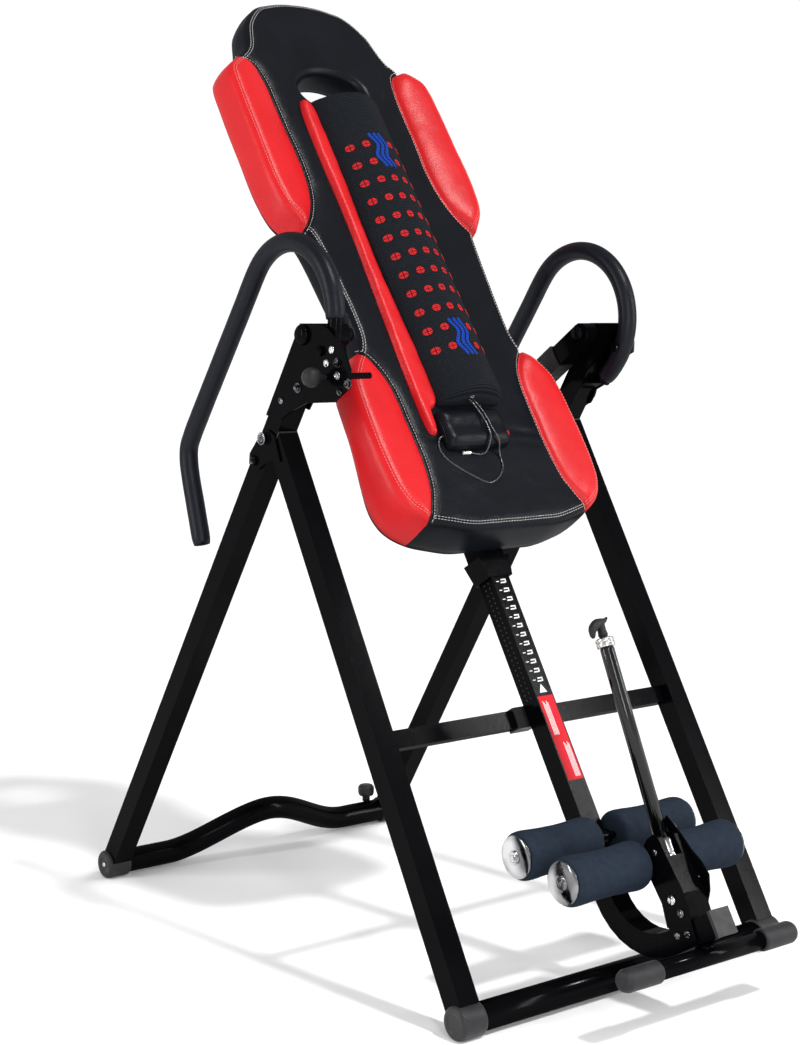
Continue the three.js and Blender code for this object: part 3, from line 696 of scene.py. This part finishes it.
def on_wing(points):
    """2 on an upper red wing, 1 on a lower one, 0 on the black middle."""
    x, a = np.abs(points[:, 0]), points[:, 1]
    found = np.zeros(len(points), int)
    for number, seam in ((2, SEAMS[0]), (1, SEAMS[2])):
        order = np.argsort(seam[:, 1])
        reach = np.interp(a, seam[order, 1], seam[order, 0])
        within = (a > seam[:, 1].min()) & (a < seam[:, 1].max())
        found[within & (x > reach)] = number
    return found


def rolled(distance, radius):
    """Drop of a surface beside a rolled edge: 1 at the edge, 0 from a radius inwards."""
    lean = 1 - np.clip(distance / radius, 0, 1)
    return 1 - np.sqrt(np.clip(1 - lean ** 2, 0, 1))


def hump(distance, width):
    return np.exp(-(distance / width) ** 2)


def ripples(points, size, seed):
    """Smooth noise from -1 to 1 with features of about that size."""
    return np.array([noise.noise(Vector((x / size, a / size, seed))) for x, a in points])


def cushion_height(points):
    """Face of the bed: flat middle, raised wings, pinched seams, rounded edge and soft dents."""
    rim = distance_to(points, OUTLINE)
    edge = np.minimum(rim, distance_to(points, HOLE))
    seam = np.min([distance_to(points, line, closed=False) for line in SEAMS], axis=0)
    wing = on_wing(points)
    share = seam / (seam + rim + 1e-6)
    n = np.choose(wing, WING_RISE) * (1 - (1 - share) ** 1.9)
    n += (wing == 0) * 2.5 * (1 - np.exp(-seam / 26))
    n -= 3.6 * hump(seam, 4.5) + 1.8 * hump(seam, 14)
    radius = EDGE_ROUND + 5 * (wing > 0)
    n -= radius * rolled(edge, radius)
    n += 1.4 * ripples(points, 70, 1.3) + 0.5 * ripples(points, 24, 4.1)
    pucker = np.exp(-seam / 12) + 0.7 * np.exp(-edge / 16)
    n += 0.45 * pucker * ripples(points * (0.35, 1), 11, 7.7)
    # crease across the seat where the leather folds, with a shallower one below it
    crease = points[:, 1] - 152 - 6 * np.sin(points[:, 0] / 40)
    fade = hump(np.abs(points[:, 0]) - 95, 45)
    n -= fade * (2.6 * hump(crease, 4) + 1.2 * hump(crease + 22, 5))
    # seam down the right of the headrest
    return n - 2.5 * hump(distance_to(points, HEAD_SEAM, closed=False), 3.5)


def edge_rings(loops, distances):
    """Points on rings just inside closed edges; each loop comes with its inward sign."""
    return np.concatenate([loop + sign * d * sideways(loop, closed=True)
                           for loop, sign in loops for d in distances])


def cushion_floor(points):
    """Underside: level behind the board, with a deeper belly at the foot end."""
    t = np.clip((200 - points[:, 1]) / 170, 0, 1)
    return CUSHION_FLOOR - BELLY * t * t * (3 - 2 * t)


def cushion_points():
    rings = edge_rings([(OUTLINE, -1), (HOLE, 1)], [1, 3, 6, 10, 15])
    beside = [line + k * sideways(line) for line in SEAMS for k in (-10, -6, -3, 3, 6, 10)]
    beside = np.concatenate(beside)
    clear = np.minimum(distance_to(beside, OUTLINE), distance_to(beside, HOLE)) > 3
    return np.concatenate([rings, beside[clear & inside(beside, OUTLINE)]])


def paint_cushion(points):
    return (on_wing(points) > 0).astype(int)


def build_cushion():
    verts, faces, indices = quilt([OUTLINE, HOLE], SEAMS, cushion_height, cushion_floor, 7,
                                  paint=paint_cushion, extra=cushion_points())
    made = piece("bed_upholstery", verts, faces, BED, [BLACK_LEATHER, RED_LEATHER], "bed",
                 ["bed_cushion", "bed_board"], "cushion_leather", indices)
    weld(made)
    pale, pink = [], []
    for line in SEAMS:
        inward = -np.sign(np.mean(line[:, 0])) * np.sign(line[-1, 1] - line[0, 1])
        pale.append(line + SEAM_STITCH * inward * sideways(line))
    closed = np.concatenate([OUTLINE, OUTLINE[:1]])
    for distance in EDGE_STITCHES:
        ring = closed - distance * sideways(closed)
        red = paint_cushion(ring)
        for run in np.split(np.arange(len(ring)), np.flatnonzero(np.diff(red)) + 1):
            if len(run) > 3:
                (pink if red[run[1]] else pale).append(ring[run])
    for color, lines, material in (("pale", pale, WHITE_THREAD), ("red", pink, RED_THREAD)):
        piece(f"{color}_stitching", *stitches(lines, cushion_height), BED, material, "bed",
              slot="cushion_leather")


build_cushion()

# ---------- massage pad, flap and pouch ----------
PAD_SECTION = [(-74, 1), (-75, 8), (-73, 16), (-66, 27), (-50, 41), (-28, 53), (-3, 58), (22, 53),
               (44, 41), (61, 26), (67, 16), (69, 8), (68, 1)]
PAD_RUN = (213, 858)
PAD_LINE = catmull(PAD_SECTION, 3)
DOT_ROWS, DOT_COLUMNS, DOT_R = 12, 5, 7.0


def pad_height(points):
    """Face of the massage pad above the bed, rounded over at both ends."""
    crown = PAD_LINE[(PAD_LINE[:, 0] > -73) & (PAD_LINE[:, 0] < 67) & (PAD_LINE[:, 1] > 15)]
    return np.interp(points[:, 0], crown[:, 0], crown[:, 1]) * pad_end(points[:, 1])


def pad_end(a):
    """How much of the section's height is left near the ends of the pad."""
    return 1 - 0.55 * rolled(np.minimum(a - PAD_RUN[0], PAD_RUN[1] - a), 16)


def build_pad():
    rows = np.concatenate([PAD_RUN[0] + np.array([0, 1, 3, 6, 10]),
                           np.arange(PAD_RUN[0] + 15, PAD_RUN[1] - 12, 4.0),
                           PAD_RUN[1] - np.array([10, 6, 3, 1, 0])])
    verts = []
    for a in rows:
        keep = pad_end(np.array([a]))[0]
        for x, n in PAD_LINE:
            swell = 0.6 * noise.noise(Vector((x / 30, a / 45, 2.0)))
            verts.append(np.array([(x + 3) * (0.94 + 0.06 * keep) - 3, a, n * keep + swell]))
    columns = len(PAD_LINE)
    faces = [face[::-1] for face in grid_faces(len(rows), columns)]
    faces.append(tuple(range(columns)))
    last = (len(rows) - 1) * columns
    faces.append(tuple(range(last, last + columns))[::-1])
    made = piece("massage_pad_cover", verts, faces, BED, FABRIC, "bed", "massage_pad",
                 "pad_fabric")
    made.data.flip_normals()

    dots = [dot(-56 + 26.5 * column, 732 - 39.1 * row) for row in range(DOT_ROWS)
            for column in range(DOT_COLUMNS)
            if column != DOT_COLUMNS // 2 or 1 < row < DOT_ROWS - 2]
    piece("pad_dots", *raised(joined(dots)), BED, RED_INK, "bed", slot="pad_fabric")
    waves = [wave_mark(-3 + 10 * k, middle) for middle in (716, 318) for k in (-1, 0, 1)]
    piece("pad_waves", *raised(joined(waves)), BED, BLUE_INK, "bed", slot="pad_fabric")
    ring = rounded([(3.6, -2), (3.6, 2.5), (7, 2.5), (7.5, -2)], 0.8)
    piece("pad_eyelet", *lathe(ring, (-11, 219, 30), "Z", 32), BED, CHROME, "bed",
          slot="bright_steel")


def dot(x, a):
    """Printed disc split into four quarters by a cross of bare fabric."""
    arc = [(DOT_R * math.cos(t), DOT_R * math.sin(t)) for t in np.linspace(0.08, 1.49, 6)]
    verts = []
    for quarter in range(4):
        c, s = math.cos(quarter * math.pi / 2), math.sin(quarter * math.pi / 2)
        verts += [(x + u * c - v * s, a + u * s + v * c) for u, v in ((0.55, 0.55), *arc)]
    return verts, [tuple(range(first, first + 7)) for first in range(0, len(verts), 7)]


def wave_mark(x, middle):
    """Wavy ribbon running up the pad, as a strip of quads."""
    verts = []
    for t in np.linspace(-1, 1, 40):
        sway = 4.5 * math.sin(t * 1.6 * math.pi)
        half = 3.4 * min(1, (1 - abs(t)) * 12 + 0.2)
        verts += [(x + sway - half, middle + 38 * t), (x + sway + half, middle + 38 * t)]
    faces = [(i, i + 1, i + 3, i + 2) for i in range(0, len(verts) - 2, 2)]
    return verts, faces


def raised(shape, lift=0.7):
    """Flat (x, a) shape laid on the face of the pad."""
    flat = np.array(shape[0], float)
    return np.column_stack([flat, pad_height(flat) + lift]), shape[1]


FLAP = smooth_loop([(-76, 858), (-90, 862), (-101, 560), (-113, 175), (-109, 160), (-100, 157),
                    (-95, 170), (-91, 205), (-76, 216), (-76, 500)], 6)


def flap_height(points):
    folds = ripples(points * (1, 0.6), 16, 3.3)
    return 13 - 8 * rolled(distance_to(points, FLAP), 8) + folds


POUCH = smooth_loop([(-86, 128), (-20, 126), (42, 129), (47, 135), (47, 190), (42, 196),
                     (-20, 198), (-84, 196), (-89, 190), (-89, 134)], 4)


def pouch_height(points):
    folds = 0.9 * ripples(points * (0.5, 1), 12, 9.1) + 0.7 * ripples(points, 28, 5.5)
    dip = 2.5 * hump(points[:, 1] - 162, 12)
    return 24.5 - 15 * rolled(distance_to(points, POUCH), 20) + folds - dip


def build_soft_trim():
    for name, loop, height, material, node, slot in (
            ("pad_flap_cover", FLAP, flap_height, RED_LEATHER, "pad_flap", "red_leather"),
            ("controller_pouch", POUCH, pouch_height, BLACK_LEATHER, "controller",
             "black_leather")):
        verts, faces, _ = quilt([loop], [], height, lambda at: np.full(len(at), 0.6), 4,
                                bulge=1, tuck=1, extra=edge_rings([(loop, -1)], [1, 2.5]))
        made = piece(name, verts, faces, BED, material, "bed", node, slot)
        weld(made)
    # open left end of the pouch, a flat black sheet standing for the shade inside it (painted
    # shade), and the red key at its right end
    mouth = [(-89.6, a + 162, n + 8.5) for a, n in ring_of(25, 6, 28)]
    piece("pouch_rim", *sweep(mouth, 1.3, 8), BED, BLACK_LEATHER, "bed",
          slot="black_leather")
    # flat black sheet across the open end: painted shade of the pouch's inside
    piece("pouch_mouth_painted_shade", [(-90.2, a, n) for _, a, n in mouth[:-1]], [tuple(range(27))], BED,
          BLACK_PLASTIC, "bed", slot="dark_plastic")
    key = rounded([(0.5, 47), (6, 47), (6, 51), (3, 52)], 1)
    piece("pouch_key", *lathe(key, (0, 150, 9), sides=24), BED, RED_INK, "bed",
          slot="red_leather")


build_pad()
build_soft_trim()


# ---------- frame tubes, rails and pins ----------
FRONT_BAR, REAR_BAR = (0, -2.9, 25.99), (0, 1045.7, 25.99)
REAR_TILT = math.radians(-32.87)
HALF_WIDTH, CAP_LENGTH, CAP_R, BAR_R = 355.5, 47, 26.5, 22.5
PIVOT, KNOB, RING = (0, 390, 1043), (0, 331, 977), (0, 503, 872)
FOLD = (0, 533, 834)
BAR_HALF, FOOT_R, AXLE_R = 351, 14.5, 6
RAIL_X, RAIL_R, RAIL_FOAM_R = 323, 12.5, 16.5
LEG_HALF, PLATE_FACE = 19, 344


def leg_x(z):
    """Middle of the right leg, which leans inwards as it rises."""
    return 330 - 0.0105 * z


def rear_bar():
    """Floor bar that arches up and forward in the plane of the rear legs."""
    line = []
    for x in np.linspace(-BAR_HALF, BAR_HALF, 120):
        t = min(max(1 - abs(x) / 215, 0), 1)
        rise = 74 * t * t * (3 - 2 * t)
        line.append((x, REAR_BAR[1] + rise * math.sin(REAR_TILT),
                     REAR_BAR[2] + rise * math.cos(REAR_TILT)))
    return sweep(line, BAR_R, 40)


def bar_cap(recess):
    """Moulded end cap with a rolled lip and a shallow dish in its end."""
    inner = HALF_WIDTH - CAP_LENGTH
    return rounded([(BAR_R + 0.2, inner - 1), (CAP_R - 1.5, inner), (CAP_R, inner + 3),
                    (CAP_R, HALF_WIDTH - 4), (CAP_R - 3.5, HALF_WIDTH),
                    (recess, HALF_WIDTH), (recess - 2.5, HALF_WIDTH - 1.6),
                    (0.5, HALF_WIDTH - 1.6)], 2, 4)


def build_floor_bars():
    piece("rear_bar", *rear_bar(), ROW, STEEL, "rear_frame", "rear_floor_bar", "black_steel")
    front = lathe([(BAR_R, -BAR_HALF), (BAR_R, BAR_HALF)], FRONT_BAR, sides=64)
    piece("front_bar", *front, ROW, STEEL, "front_frame", "front_floor_bar", "black_steel")
    pair("rear_bar_cap", lathe(bar_cap(15), REAR_BAR, sides=64), ROW, DARK_GREY_PLASTIC,
         "rear_frame", ["rear_cap"], "dark_plastic")
    pair("front_bar_cap", lathe(bar_cap(17), FRONT_BAR, sides=64), ROW, GREY_PLASTIC,
         "front_frame", ["front_cap"], "grey_plastic")
    screw = lathe(rounded([(5, 352), (5, 355), (3, 356.4), (0.3, 356.6)], 1), REAR_BAR, sides=24)
    pair("rear_cap_screw", screw, ROW, CHROME, "rear_frame", slot="bright_steel")
    stud = lathe(rounded([(8, 48), (8, 58), (15, 60), (17, 66), (17, 78), (13, 83), (0.4, 84)],
                         2, 4), (283, REAR_BAR[1] + 8, 0), "Z", 40)
    piece("floor_stud", *stud, ROW, BLACK_PLASTIC, "rear_frame", "rear_stud", "dark_plastic")


LOOP_Y, LOOP_Z, LOOP_R = 455, 1068, 124
TAIL = [(590, 1093.5), (640, 1026), (690, 958.5), (735, 897.5), (757, 866.5), (770, 843),
        (771.5, 818), (765.5, 788), (752, 743)]


def loop_point(degrees):
    angle = math.radians(degrees)
    return (RAIL_X, LOOP_Y + LOOP_R * math.cos(angle), LOOP_Z + LOOP_R * math.sin(angle))


def build_rails():
    arc = [loop_point(degrees) for degrees in range(180, 35, -12)]
    tail = [(RAIL_X, y, z) for y, z in TAIL]
    lower = [(RAIL_X, 390, 957), loop_point(222), loop_point(208), loop_point(194)]
    tube = catmull([*lower, *arc, *tail, (RAIL_X, 731, 672)], 8)
    pair("rail_tube", sweep(tube, RAIL_R, 32), ROW, STEEL, "rear_frame", ["handle_tube"],
         "black_steel")
    for side, start in (("left", []), ("right", [(RAIL_X, 384, 963.2), *lower[1:]])):
        line = catmull([*start, *arc, *tail, (RAIL_X, 731, 672.5)], 6)
        radii = np.full(len(line), RAIL_FOAM_R)
        radii[:3], radii[-3:] = (14.8, 15.9, 16.4), (16.3, 15.6, 14.2)
        radii += np.array([0.25 * noise.noise(Vector(p) / 40) for p in line])
        sleeve = sweep(line, radii, 40)
        piece(f"rail_foam_{side}", *(mirrored(sleeve) if side == "left" else sleeve), ROW,
              GRIP_FOAM, "rear_frame", f"handle_foam_{side}", "grip_foam")


def hex_bolt(x, head, height, at):
    """Hexagon head with a washer and the stub of its thread, standing on a face at x."""
    washer = rounded([(head * 1.25, x), (head * 1.25, x + 1.4), (head, x + 1.5)], 0.3)
    block = rounded([(head, x + 1.4), (head, x + height - 1), (head * 0.86, x + height),
                     (0.3, x + height)], 0.3, 2)
    stub = [(head * 0.5, x + height), (head * 0.5, x + height + 2),
            (head * 0.35, x + height + 2.6)]
    return joined([lathe(washer, at, sides=32), lathe(block, at, sides=6),
                   lathe(stub, at, sides=20)])


def dome_bolt(x, radius, height, at, away=1):
    """Domed head standing on a face at x; away is the side it faces."""
    arc = [(radius * math.cos(t), x + away * (1 + (height - 1) * math.sin(t)))
           for t in np.linspace(0, 1.5, 8)]
    return lathe([(radius, x), *arc], at, sides=32)


def build_pivots():
    nut = rounded([(11, 251), (11, 260), (6, 260), (6, 344.4), (17, 344.4), (16.4, 349),
                   (11, 354), (0.5, 356)], 1.5, 4)
    pair("pivot_nut", lathe(nut, PIVOT, sides=48), ROW, STEEL, "rear_frame", ["pivot_bolt"],
         "black_steel")
    ball = [(16 * math.sin(t), 370 - 16 * math.cos(t))
            for t in np.linspace(math.asin(6 / 16), math.pi - 0.02, 16)]
    knob = lathe([(4.6, 333), (5, 334), (5, 352), (6, 355), *ball], KNOB, sides=48)
    piece("pin_knob", *mirrored(knob), ROW, BLACK_PLASTIC, "knob_pin", "knob_pin",
          "dark_plastic")
    dark = [hex_bolt(PLATE_FACE, 6.5, 5, (0, y, z))
            for y, z in ((405, 958), (297, 1000), (270, 968))]
    dark += [dome_bolt(PLATE_FACE, 6, 4, (0, y, z))
             for y, z in ((452, 936), (355, 968), (292, 955))]
    # bright chrome on these three bolts stands for the highlights the bracket's bolts catch:
    # painted highlight
    bright = [dome_bolt(PLATE_FACE, 6.5, 4.5, (0, y, z)) for y, z in ((312, 1020), (326, 999))]
    bright.append(hex_bolt(PLATE_FACE, 5, 4, (0, 297, 980)))
    for name, bolts, material, slot in (
            ("bracket_bolts", dark, GUNMETAL, "black_steel"),
            ("bracket_highlight_bolts", bright, CHROME, "bright_steel")):
        piece(name, *mirrored(joined(bolts)), ROW, material, "rear_frame", slot=slot)
    for y, z in ((444, 973), (465, 938)):
        outer = dome_bolt(leg_x(z) + LEG_HALF, 5.5, 3.2, (0, y, z))
        pair(f"leg_bolt_{z}", outer, ROW, GUNMETAL, "rear_frame", slot="black_steel")
        inner = dome_bolt(leg_x(z) - LEG_HALF, 5, 2.4, (0, y, z), away=-1)
        pair(f"leg_inner_bolt_{z}", inner, ROW, CHROME, "rear_frame", slot="bright_steel")
    x = leg_x(RING[2])
    stem = rounded([(4, x + 19.6), (4, x + 24), (6.5, x + 24), (6.5, x + 30.5),
                    (0.3, x + 31.5)], 0.6)
    ring = [(x + 29, y + RING[1], z + RING[2]) for y, z in ring_of(9.6, 9.6, 48)]
    pair("ring_pull", sweep(ring, 1.3, 12), ROW, CHROME, "ring_pin", ["ring_pin"],
         "bright_steel")
    pair("ring_pull_stem", lathe(stem, RING, sides=32), ROW, GUNMETAL, "ring_pin",
         slot="black_steel")
    pair("fold_nut", hex_bolt(leg_x(FOLD[2]) + 22.4, 6.5, 6.5, FOLD), ROW, GUNMETAL,
         "front_frame", slot="black_steel")


# ---------- boom, foot bar and ankle rollers ----------
REAR_AXLE, FRONT_AXLE = (0, 197.8, 27), (0, 129.4, 109.2)
FOOT_BAR = (0, -38.2, 160.6)
FACE = 19.12


def boom_mark(v, half_height, left, right, lean=0.0, lift=0.0):
    """Thin printed patch on the front face of the boom."""
    low, high = v - half_height, v + half_height
    corners = [(left - lean, low), (right - lean, low), (right + lean, high),
               (left + lean, high)]
    return [(x, y, FACE + lift) for x, y in corners], [(0, 1, 2, 3)]


def build_boom():
    marks = []
    for v in np.linspace(478, 692, 14):
        marks += [boom_mark(v + 2.6, 1.1, -2, 9, 0.6), boom_mark(v - 2.6, 1.1, -4, 6, 0.6),
                  boom_mark(v, 3.2, 6.5, 8.6), boom_mark(v, 0.7, -13, -7)]
    marks.append(([(-8, 455, FACE), (8, 455, FACE), (0, 470, FACE)], [(0, 1, 2)]))
    piece("boom_print", *joined(marks), BOOM, WHITE_LABEL, "boom")
    piece("boom_label", *boom_mark(375, 74, -16.5, 16.5), BOOM, RED_LABEL, "boom",
          slot="red_leather")
    lines = []
    for left, top in ((-10, 410), (2, 336)):
        for k in range(5):
            cut = 1.5 * (k % 3)
            lines.append(boom_mark(top - cut, 30 - cut, left + 2.4 * k, left + 2.4 * k + 1.1,
                                   lift=0.1))
    piece("boom_label_lines", *joined(lines), BOOM, WHITE_LABEL, "boom")
    hole = [(0.2, -19.0), (1.5, -19.02), (1.5, -19.35)]
    holes = [lathe(hole, (0, v, w), sides=12) for v in np.arange(452, 690, 9.15)
             for w in (-6, 5)]
    piece("boom_dots", *joined(holes), BOOM, GREY_PLASTIC, "boom", slot="grey_plastic")
    saddle = [(x, y - 27.4, z + 160.6) for x in (-13, 13) for y in (-8, 8) for z in (-11, 11)]
    bar = joined([lathe([(FOOT_R, -183), (FOOT_R, 183)], FOOT_BAR, sides=48),
                  (saddle, [(0, 1, 3, 2), (4, 6, 7, 5), (0, 4, 5, 1), (2, 3, 7, 6),
                            (0, 2, 6, 4), (1, 5, 7, 3)])])
    piece("foot_rest_bar", *bar, BOOM, STEEL, "boom", "foot_bar", "black_steel")
    grip = rounded([(FOOT_R + 0.3, 113), (17, 114), (18, 117), (18, 180), (15, 187), (10, 188),
                    (8, 186.4), (0.4, 186.4)], 2, 4)
    pair("foot_rest_cap", lathe(grip, FOOT_BAR, sides=48), BOOM, DARK_GREY_PLASTIC, "boom",
         ["foot_cap"], "grey_plastic")
    spacer = rounded([(11, -14), (12, -13), (12, 13), (11, 14)], 0.8)
    for place, body, at in (("rear", "boom", REAR_AXLE), ("front", "ankle_clamp", FRONT_AXLE)):
        rod = [lathe([(AXLE_R, -181), (AXLE_R, 181)], at, sides=32)]
        if place == "rear":
            rod.append(lathe(spacer, at, sides=40))
        piece(f"{place}_axle_rod", *joined(rod), BOOM, STEEL, body, f"{place}_axle",
              "black_steel")
        build_rollers(place, at)


def build_rollers(place, at):
    """Waisted foam rollers with creased shoulders, and their domed chrome end caps."""
    rows = [(7, 27), (24, 25.6), (33, 26.5), (37.5, 30), (39, 37), (38.6, 50), (37.2, 75),
            (36.6, 104), (37.2, 132), (38.6, 156), (39, 168), (38.2, 176), (35.6, 180.5),
            (31, 182), (7, 182)]
    verts, faces = lathe(catmull(rows, 3), at, sides=64)
    soft = []
    for p in map(Vector, verts):
        arm = Vector((0, p.y - at[1], p.z - at[2]))
        if arm.length > 20:
            p += arm * (0.008 * noise.noise(p / 22) + 0.005 * noise.noise(p / 8))
        soft.append(p)
    pair(f"{place}_ankle_foam", (soft, faces), BOOM, ROLLER_FOAM, f"{place}_roller",
         [f"{place}_roller"], "roller_foam")
    dome = [(33.2, 182.7), (34, 184.2), *[(33.6 * math.cos(t), 184.6 + 4.6 * math.sin(t))
                                          for t in np.linspace(0.12, 1.25, 12)]]
    hub = rounded([(10.5, 189.1), (9.5, 190.6), (7, 190.8), (6.4, 189.2), (4.2, 189.2),
                   (3.8, 191.6), (0.3, 192)], 0.5)
    pair(f"{place}_ankle_cap", lathe([*dome, *hub], at, sides=64), BOOM, CHROME,
         f"{place}_roller", [f"{place}_roller_cap"], "bright_steel")


# ---------- ankle clamp ----------
CLAMP_FACE, SHOE_FACE = -22.5, 26
SECTOR_EDGE = (167, 172, 177, 182, 186, 189, 190, 184, 175)


def build_clamp():
    """Lever with its collar and pull grip, and the bolts and teeth of the housing."""
    origin = (0, 0, 0)
    tube = rounded([(11.75, 0.2), (11.75, 311), (10.6, 313)], 1)
    piece("clamp_lever", *lathe(tube, origin, "Y"), LEVER, GLOSS_STEEL, "ankle_clamp",
          "lever_tube", "black_steel")
    collar = rounded([(6.8, 313.5), (14.8, 313.5), (15.5, 316), (15.5, 320), (14.6, 321),
                      (14.6, 322), (15.5, 323), (15.5, 326.5), (13, 329), (6.8, 329)], 0.7)
    piece("clamp_collar", *lathe(collar, origin, "Y"), LEVER, NICKEL, "ankle_clamp",
          "lever_collar", "bright_steel")
    piece("pull_rod", *lathe([(5.5, 315), (5.5, 331)], origin, "Y", 32), LEVER, CHROME,
          "pull_grip", slot="bright_steel")
    neck = rounded([(6, 330), (8.2, 333), (7, 342), (7.5, 352), (4, 357), (0.5, 358)], 2, 4)
    arc = catmull([(-23, 331, 0), (-20, 343, 0), (-11, 351.5, 0), (1, 355, 0), (11, 357, 0),
                   (18, 361, 0)], 1.5)
    thick = np.interp(np.linspace(0, 1, len(arc)), [0, 0.06, 0.3, 0.55, 0.8, 1],
                      [2.5, 4.6, 7.6, 8, 5, 2])
    piece("pull_handle", *joined([lathe(neck, origin, "Y", 32), sweep(arc, thick)]), LEVER,
          BLACK_PLASTIC, "pull_grip", "pull_grip", "dark_plastic")

    def domes(rows):
        return [dome_bolt(CLAMP_FACE, radius, height, (0, v, w), away=-1)
                for v, w, radius, height in rows]

    bright = domes([(58, 150, 8, 5), (134, 152, 5, 3)])
    piece("clamp_bolts", *joined(bright), BOOM, CHROME, "ankle_clamp", slot="bright_steel")
    dark = domes([(6, 134, 6, 4.5), (2, 156, 6, 4.5), (34, 158, 7, 4.5)])
    dark += [hex_bolt(SHOE_FACE, 5.5, 4.5, (0, v, w)) for v, w in ((165, 160), (60, 178))]
    piece("shoe_bolts", *joined(dark), BOOM, GUNMETAL, "ankle_clamp", slot="black_steel")
    # knurled ferrule and nut in the open slot at the lever's foot
    knurl = [(9.6 if k % 2 else 10.6, -20 + 1.5 * k) for k in range(14)]
    ferrule = lathe([(7, -24), *knurl, (9, 2)], (0, 0, 6), "Y", 40)
    verts, faces = dome_bolt(0, 8, 6, origin)
    nut = [(y, z - 26, x + 12) for x, y, z in verts], faces
    for name, shape in (("lever_ferrule", ferrule), ("lever_nut", nut)):
        piece(name, *shape, LEVER, CHROME, "ankle_clamp", slot="bright_steel")
    teeth = [lathe([(2.2, SHOE_FACE), (2.2, SHOE_FACE + 1.4)], (0, 150 - 13 * k, w), sides=8)
             for k, w in enumerate(SECTOR_EDGE)]
    piece("sector_teeth", *joined(teeth), BOOM, GUNMETAL, "ankle_clamp", slot="black_steel")


def finish_cad_nodes():
    """Rounded edges and finishes for the nodes whose CAD shape is kept."""
    sided = [(f"{node}_{side}", width, material) for side in ("left", "right")
             for node, width, material in (
                 ("rear_leg", 3.5, STEEL), ("front_leg", 2.6, STEEL),
                 ("pivot_bracket", 1, STEEL), ("swing_arm", 2, STEEL),
                 ("arm_sleeve", 1.2, BLACK_PLASTIC), ("front_leg_cap", 0.5, GREY_PLASTIC))]
    for node, width, material in (
            *sided, ("cross_bar", 3, STEEL), ("boom_rest", 1, BLACK_PLASTIC),
            ("bed_frame", 1.5, STEEL), ("boom_tube", 3, STEEL), ("boom_cap", 1.5, GREY_PLASTIC),
            ("clamp_housing", 1.5, STEEL), ("sector_plate", 0.6, STEEL)):
        bevelled(node, width, material)


# ---------- floor and light ----------
FLOOR_RINGS, FLOOR_SIDES, FLOOR_Z = (0.01, 2, 6, 20, 60), 96, -0.0006
STRIP_TARGET = (0, 0, 0.8)


def add_light(name, kind, power, direction):
    light = bpy.data.lights.new(name, kind)
    light.energy = power
    made = bpy.data.objects.new(name, light)
    aim(made, direction)
    bpy.context.collection.objects.link(made)
    return made


def build_sky():
    """White surroundings: bright round the horizon, dimmer overhead."""
    world = bpy.data.worlds.new("studio")
    world.use_nodes = True
    nodes, links = world.node_tree.nodes, world.node_tree.links
    direction = nodes.new("ShaderNodeTexCoord").outputs["Generated"]
    split = nodes.new("ShaderNodeSeparateXYZ")
    links.new(direction, split.inputs["Vector"])
    fade = nodes.new("ShaderNodeMapRange")
    fade.interpolation_type = "SMOOTHSTEP"
    links.new(split.outputs["Z"], fade.inputs["Value"])
    for key, value in (("From Min", 0.2), ("From Max", 0.6), ("To Min", 1.02), ("To Max", 0.5)):
        fade.inputs[key].default_value = value
    background = nodes["Background"]
    background.inputs["Color"].default_value = (1, 1, 1, 1)
    links.new(fade.outputs["Result"], background.inputs["Strength"])
    bpy.context.scene.world = world


def build_studio():
    """Pale floor, white surroundings, one sun from the front and three narrow light strips."""
    verts = [(x, y, FLOOR_Z) for r in FLOOR_RINGS
             for x, y in ring_of(r, r, FLOOR_SIDES, end=False)]
    mesh = bpy.data.meshes.new("floor")
    mesh.from_pydata(verts, [], grid_faces(len(FLOOR_RINGS), FLOOR_SIDES, closed_columns=True))
    floor = bpy.data.objects.new("floor", mesh)
    paper = Shader("pale floor", (0.93, 0.93, 0.93), 0.9, Specular_IOR_Level=0.1)
    paper.bump(paper.noise(40, 3), 0.03, 0.001)
    mesh.materials.append(paper.material)
    bpy.context.collection.objects.link(floor)
    build_sky()
    add_light("key", "SUN", 2.2, (-0.12, 0.62, -1)).data.angle = math.radians(5)
    for name, place, width, power in (("left_strip", (-3.4, 0.9, 1.7), 0.1, 55),
                                      ("middle_strip", (-1.6, -3.3, 1.6), 0.06, 45),
                                      ("right_strip", (2.6, -2.4, 1.8), 0.1, 55)):
        strip = add_light(name, "AREA", power, Vector(STRIP_TARGET) - Vector(place))
        strip.location = place
        strip.data.shape = "RECTANGLE"
        strip.data.size, strip.data.size_y = width, 2.6
    bpy.context.scene.view_settings.view_transform = "Standard"


build_floor_bars()
build_rails()
build_pivots()
build_boom()
build_clamp()
finish_cad_nodes()
build_studio()
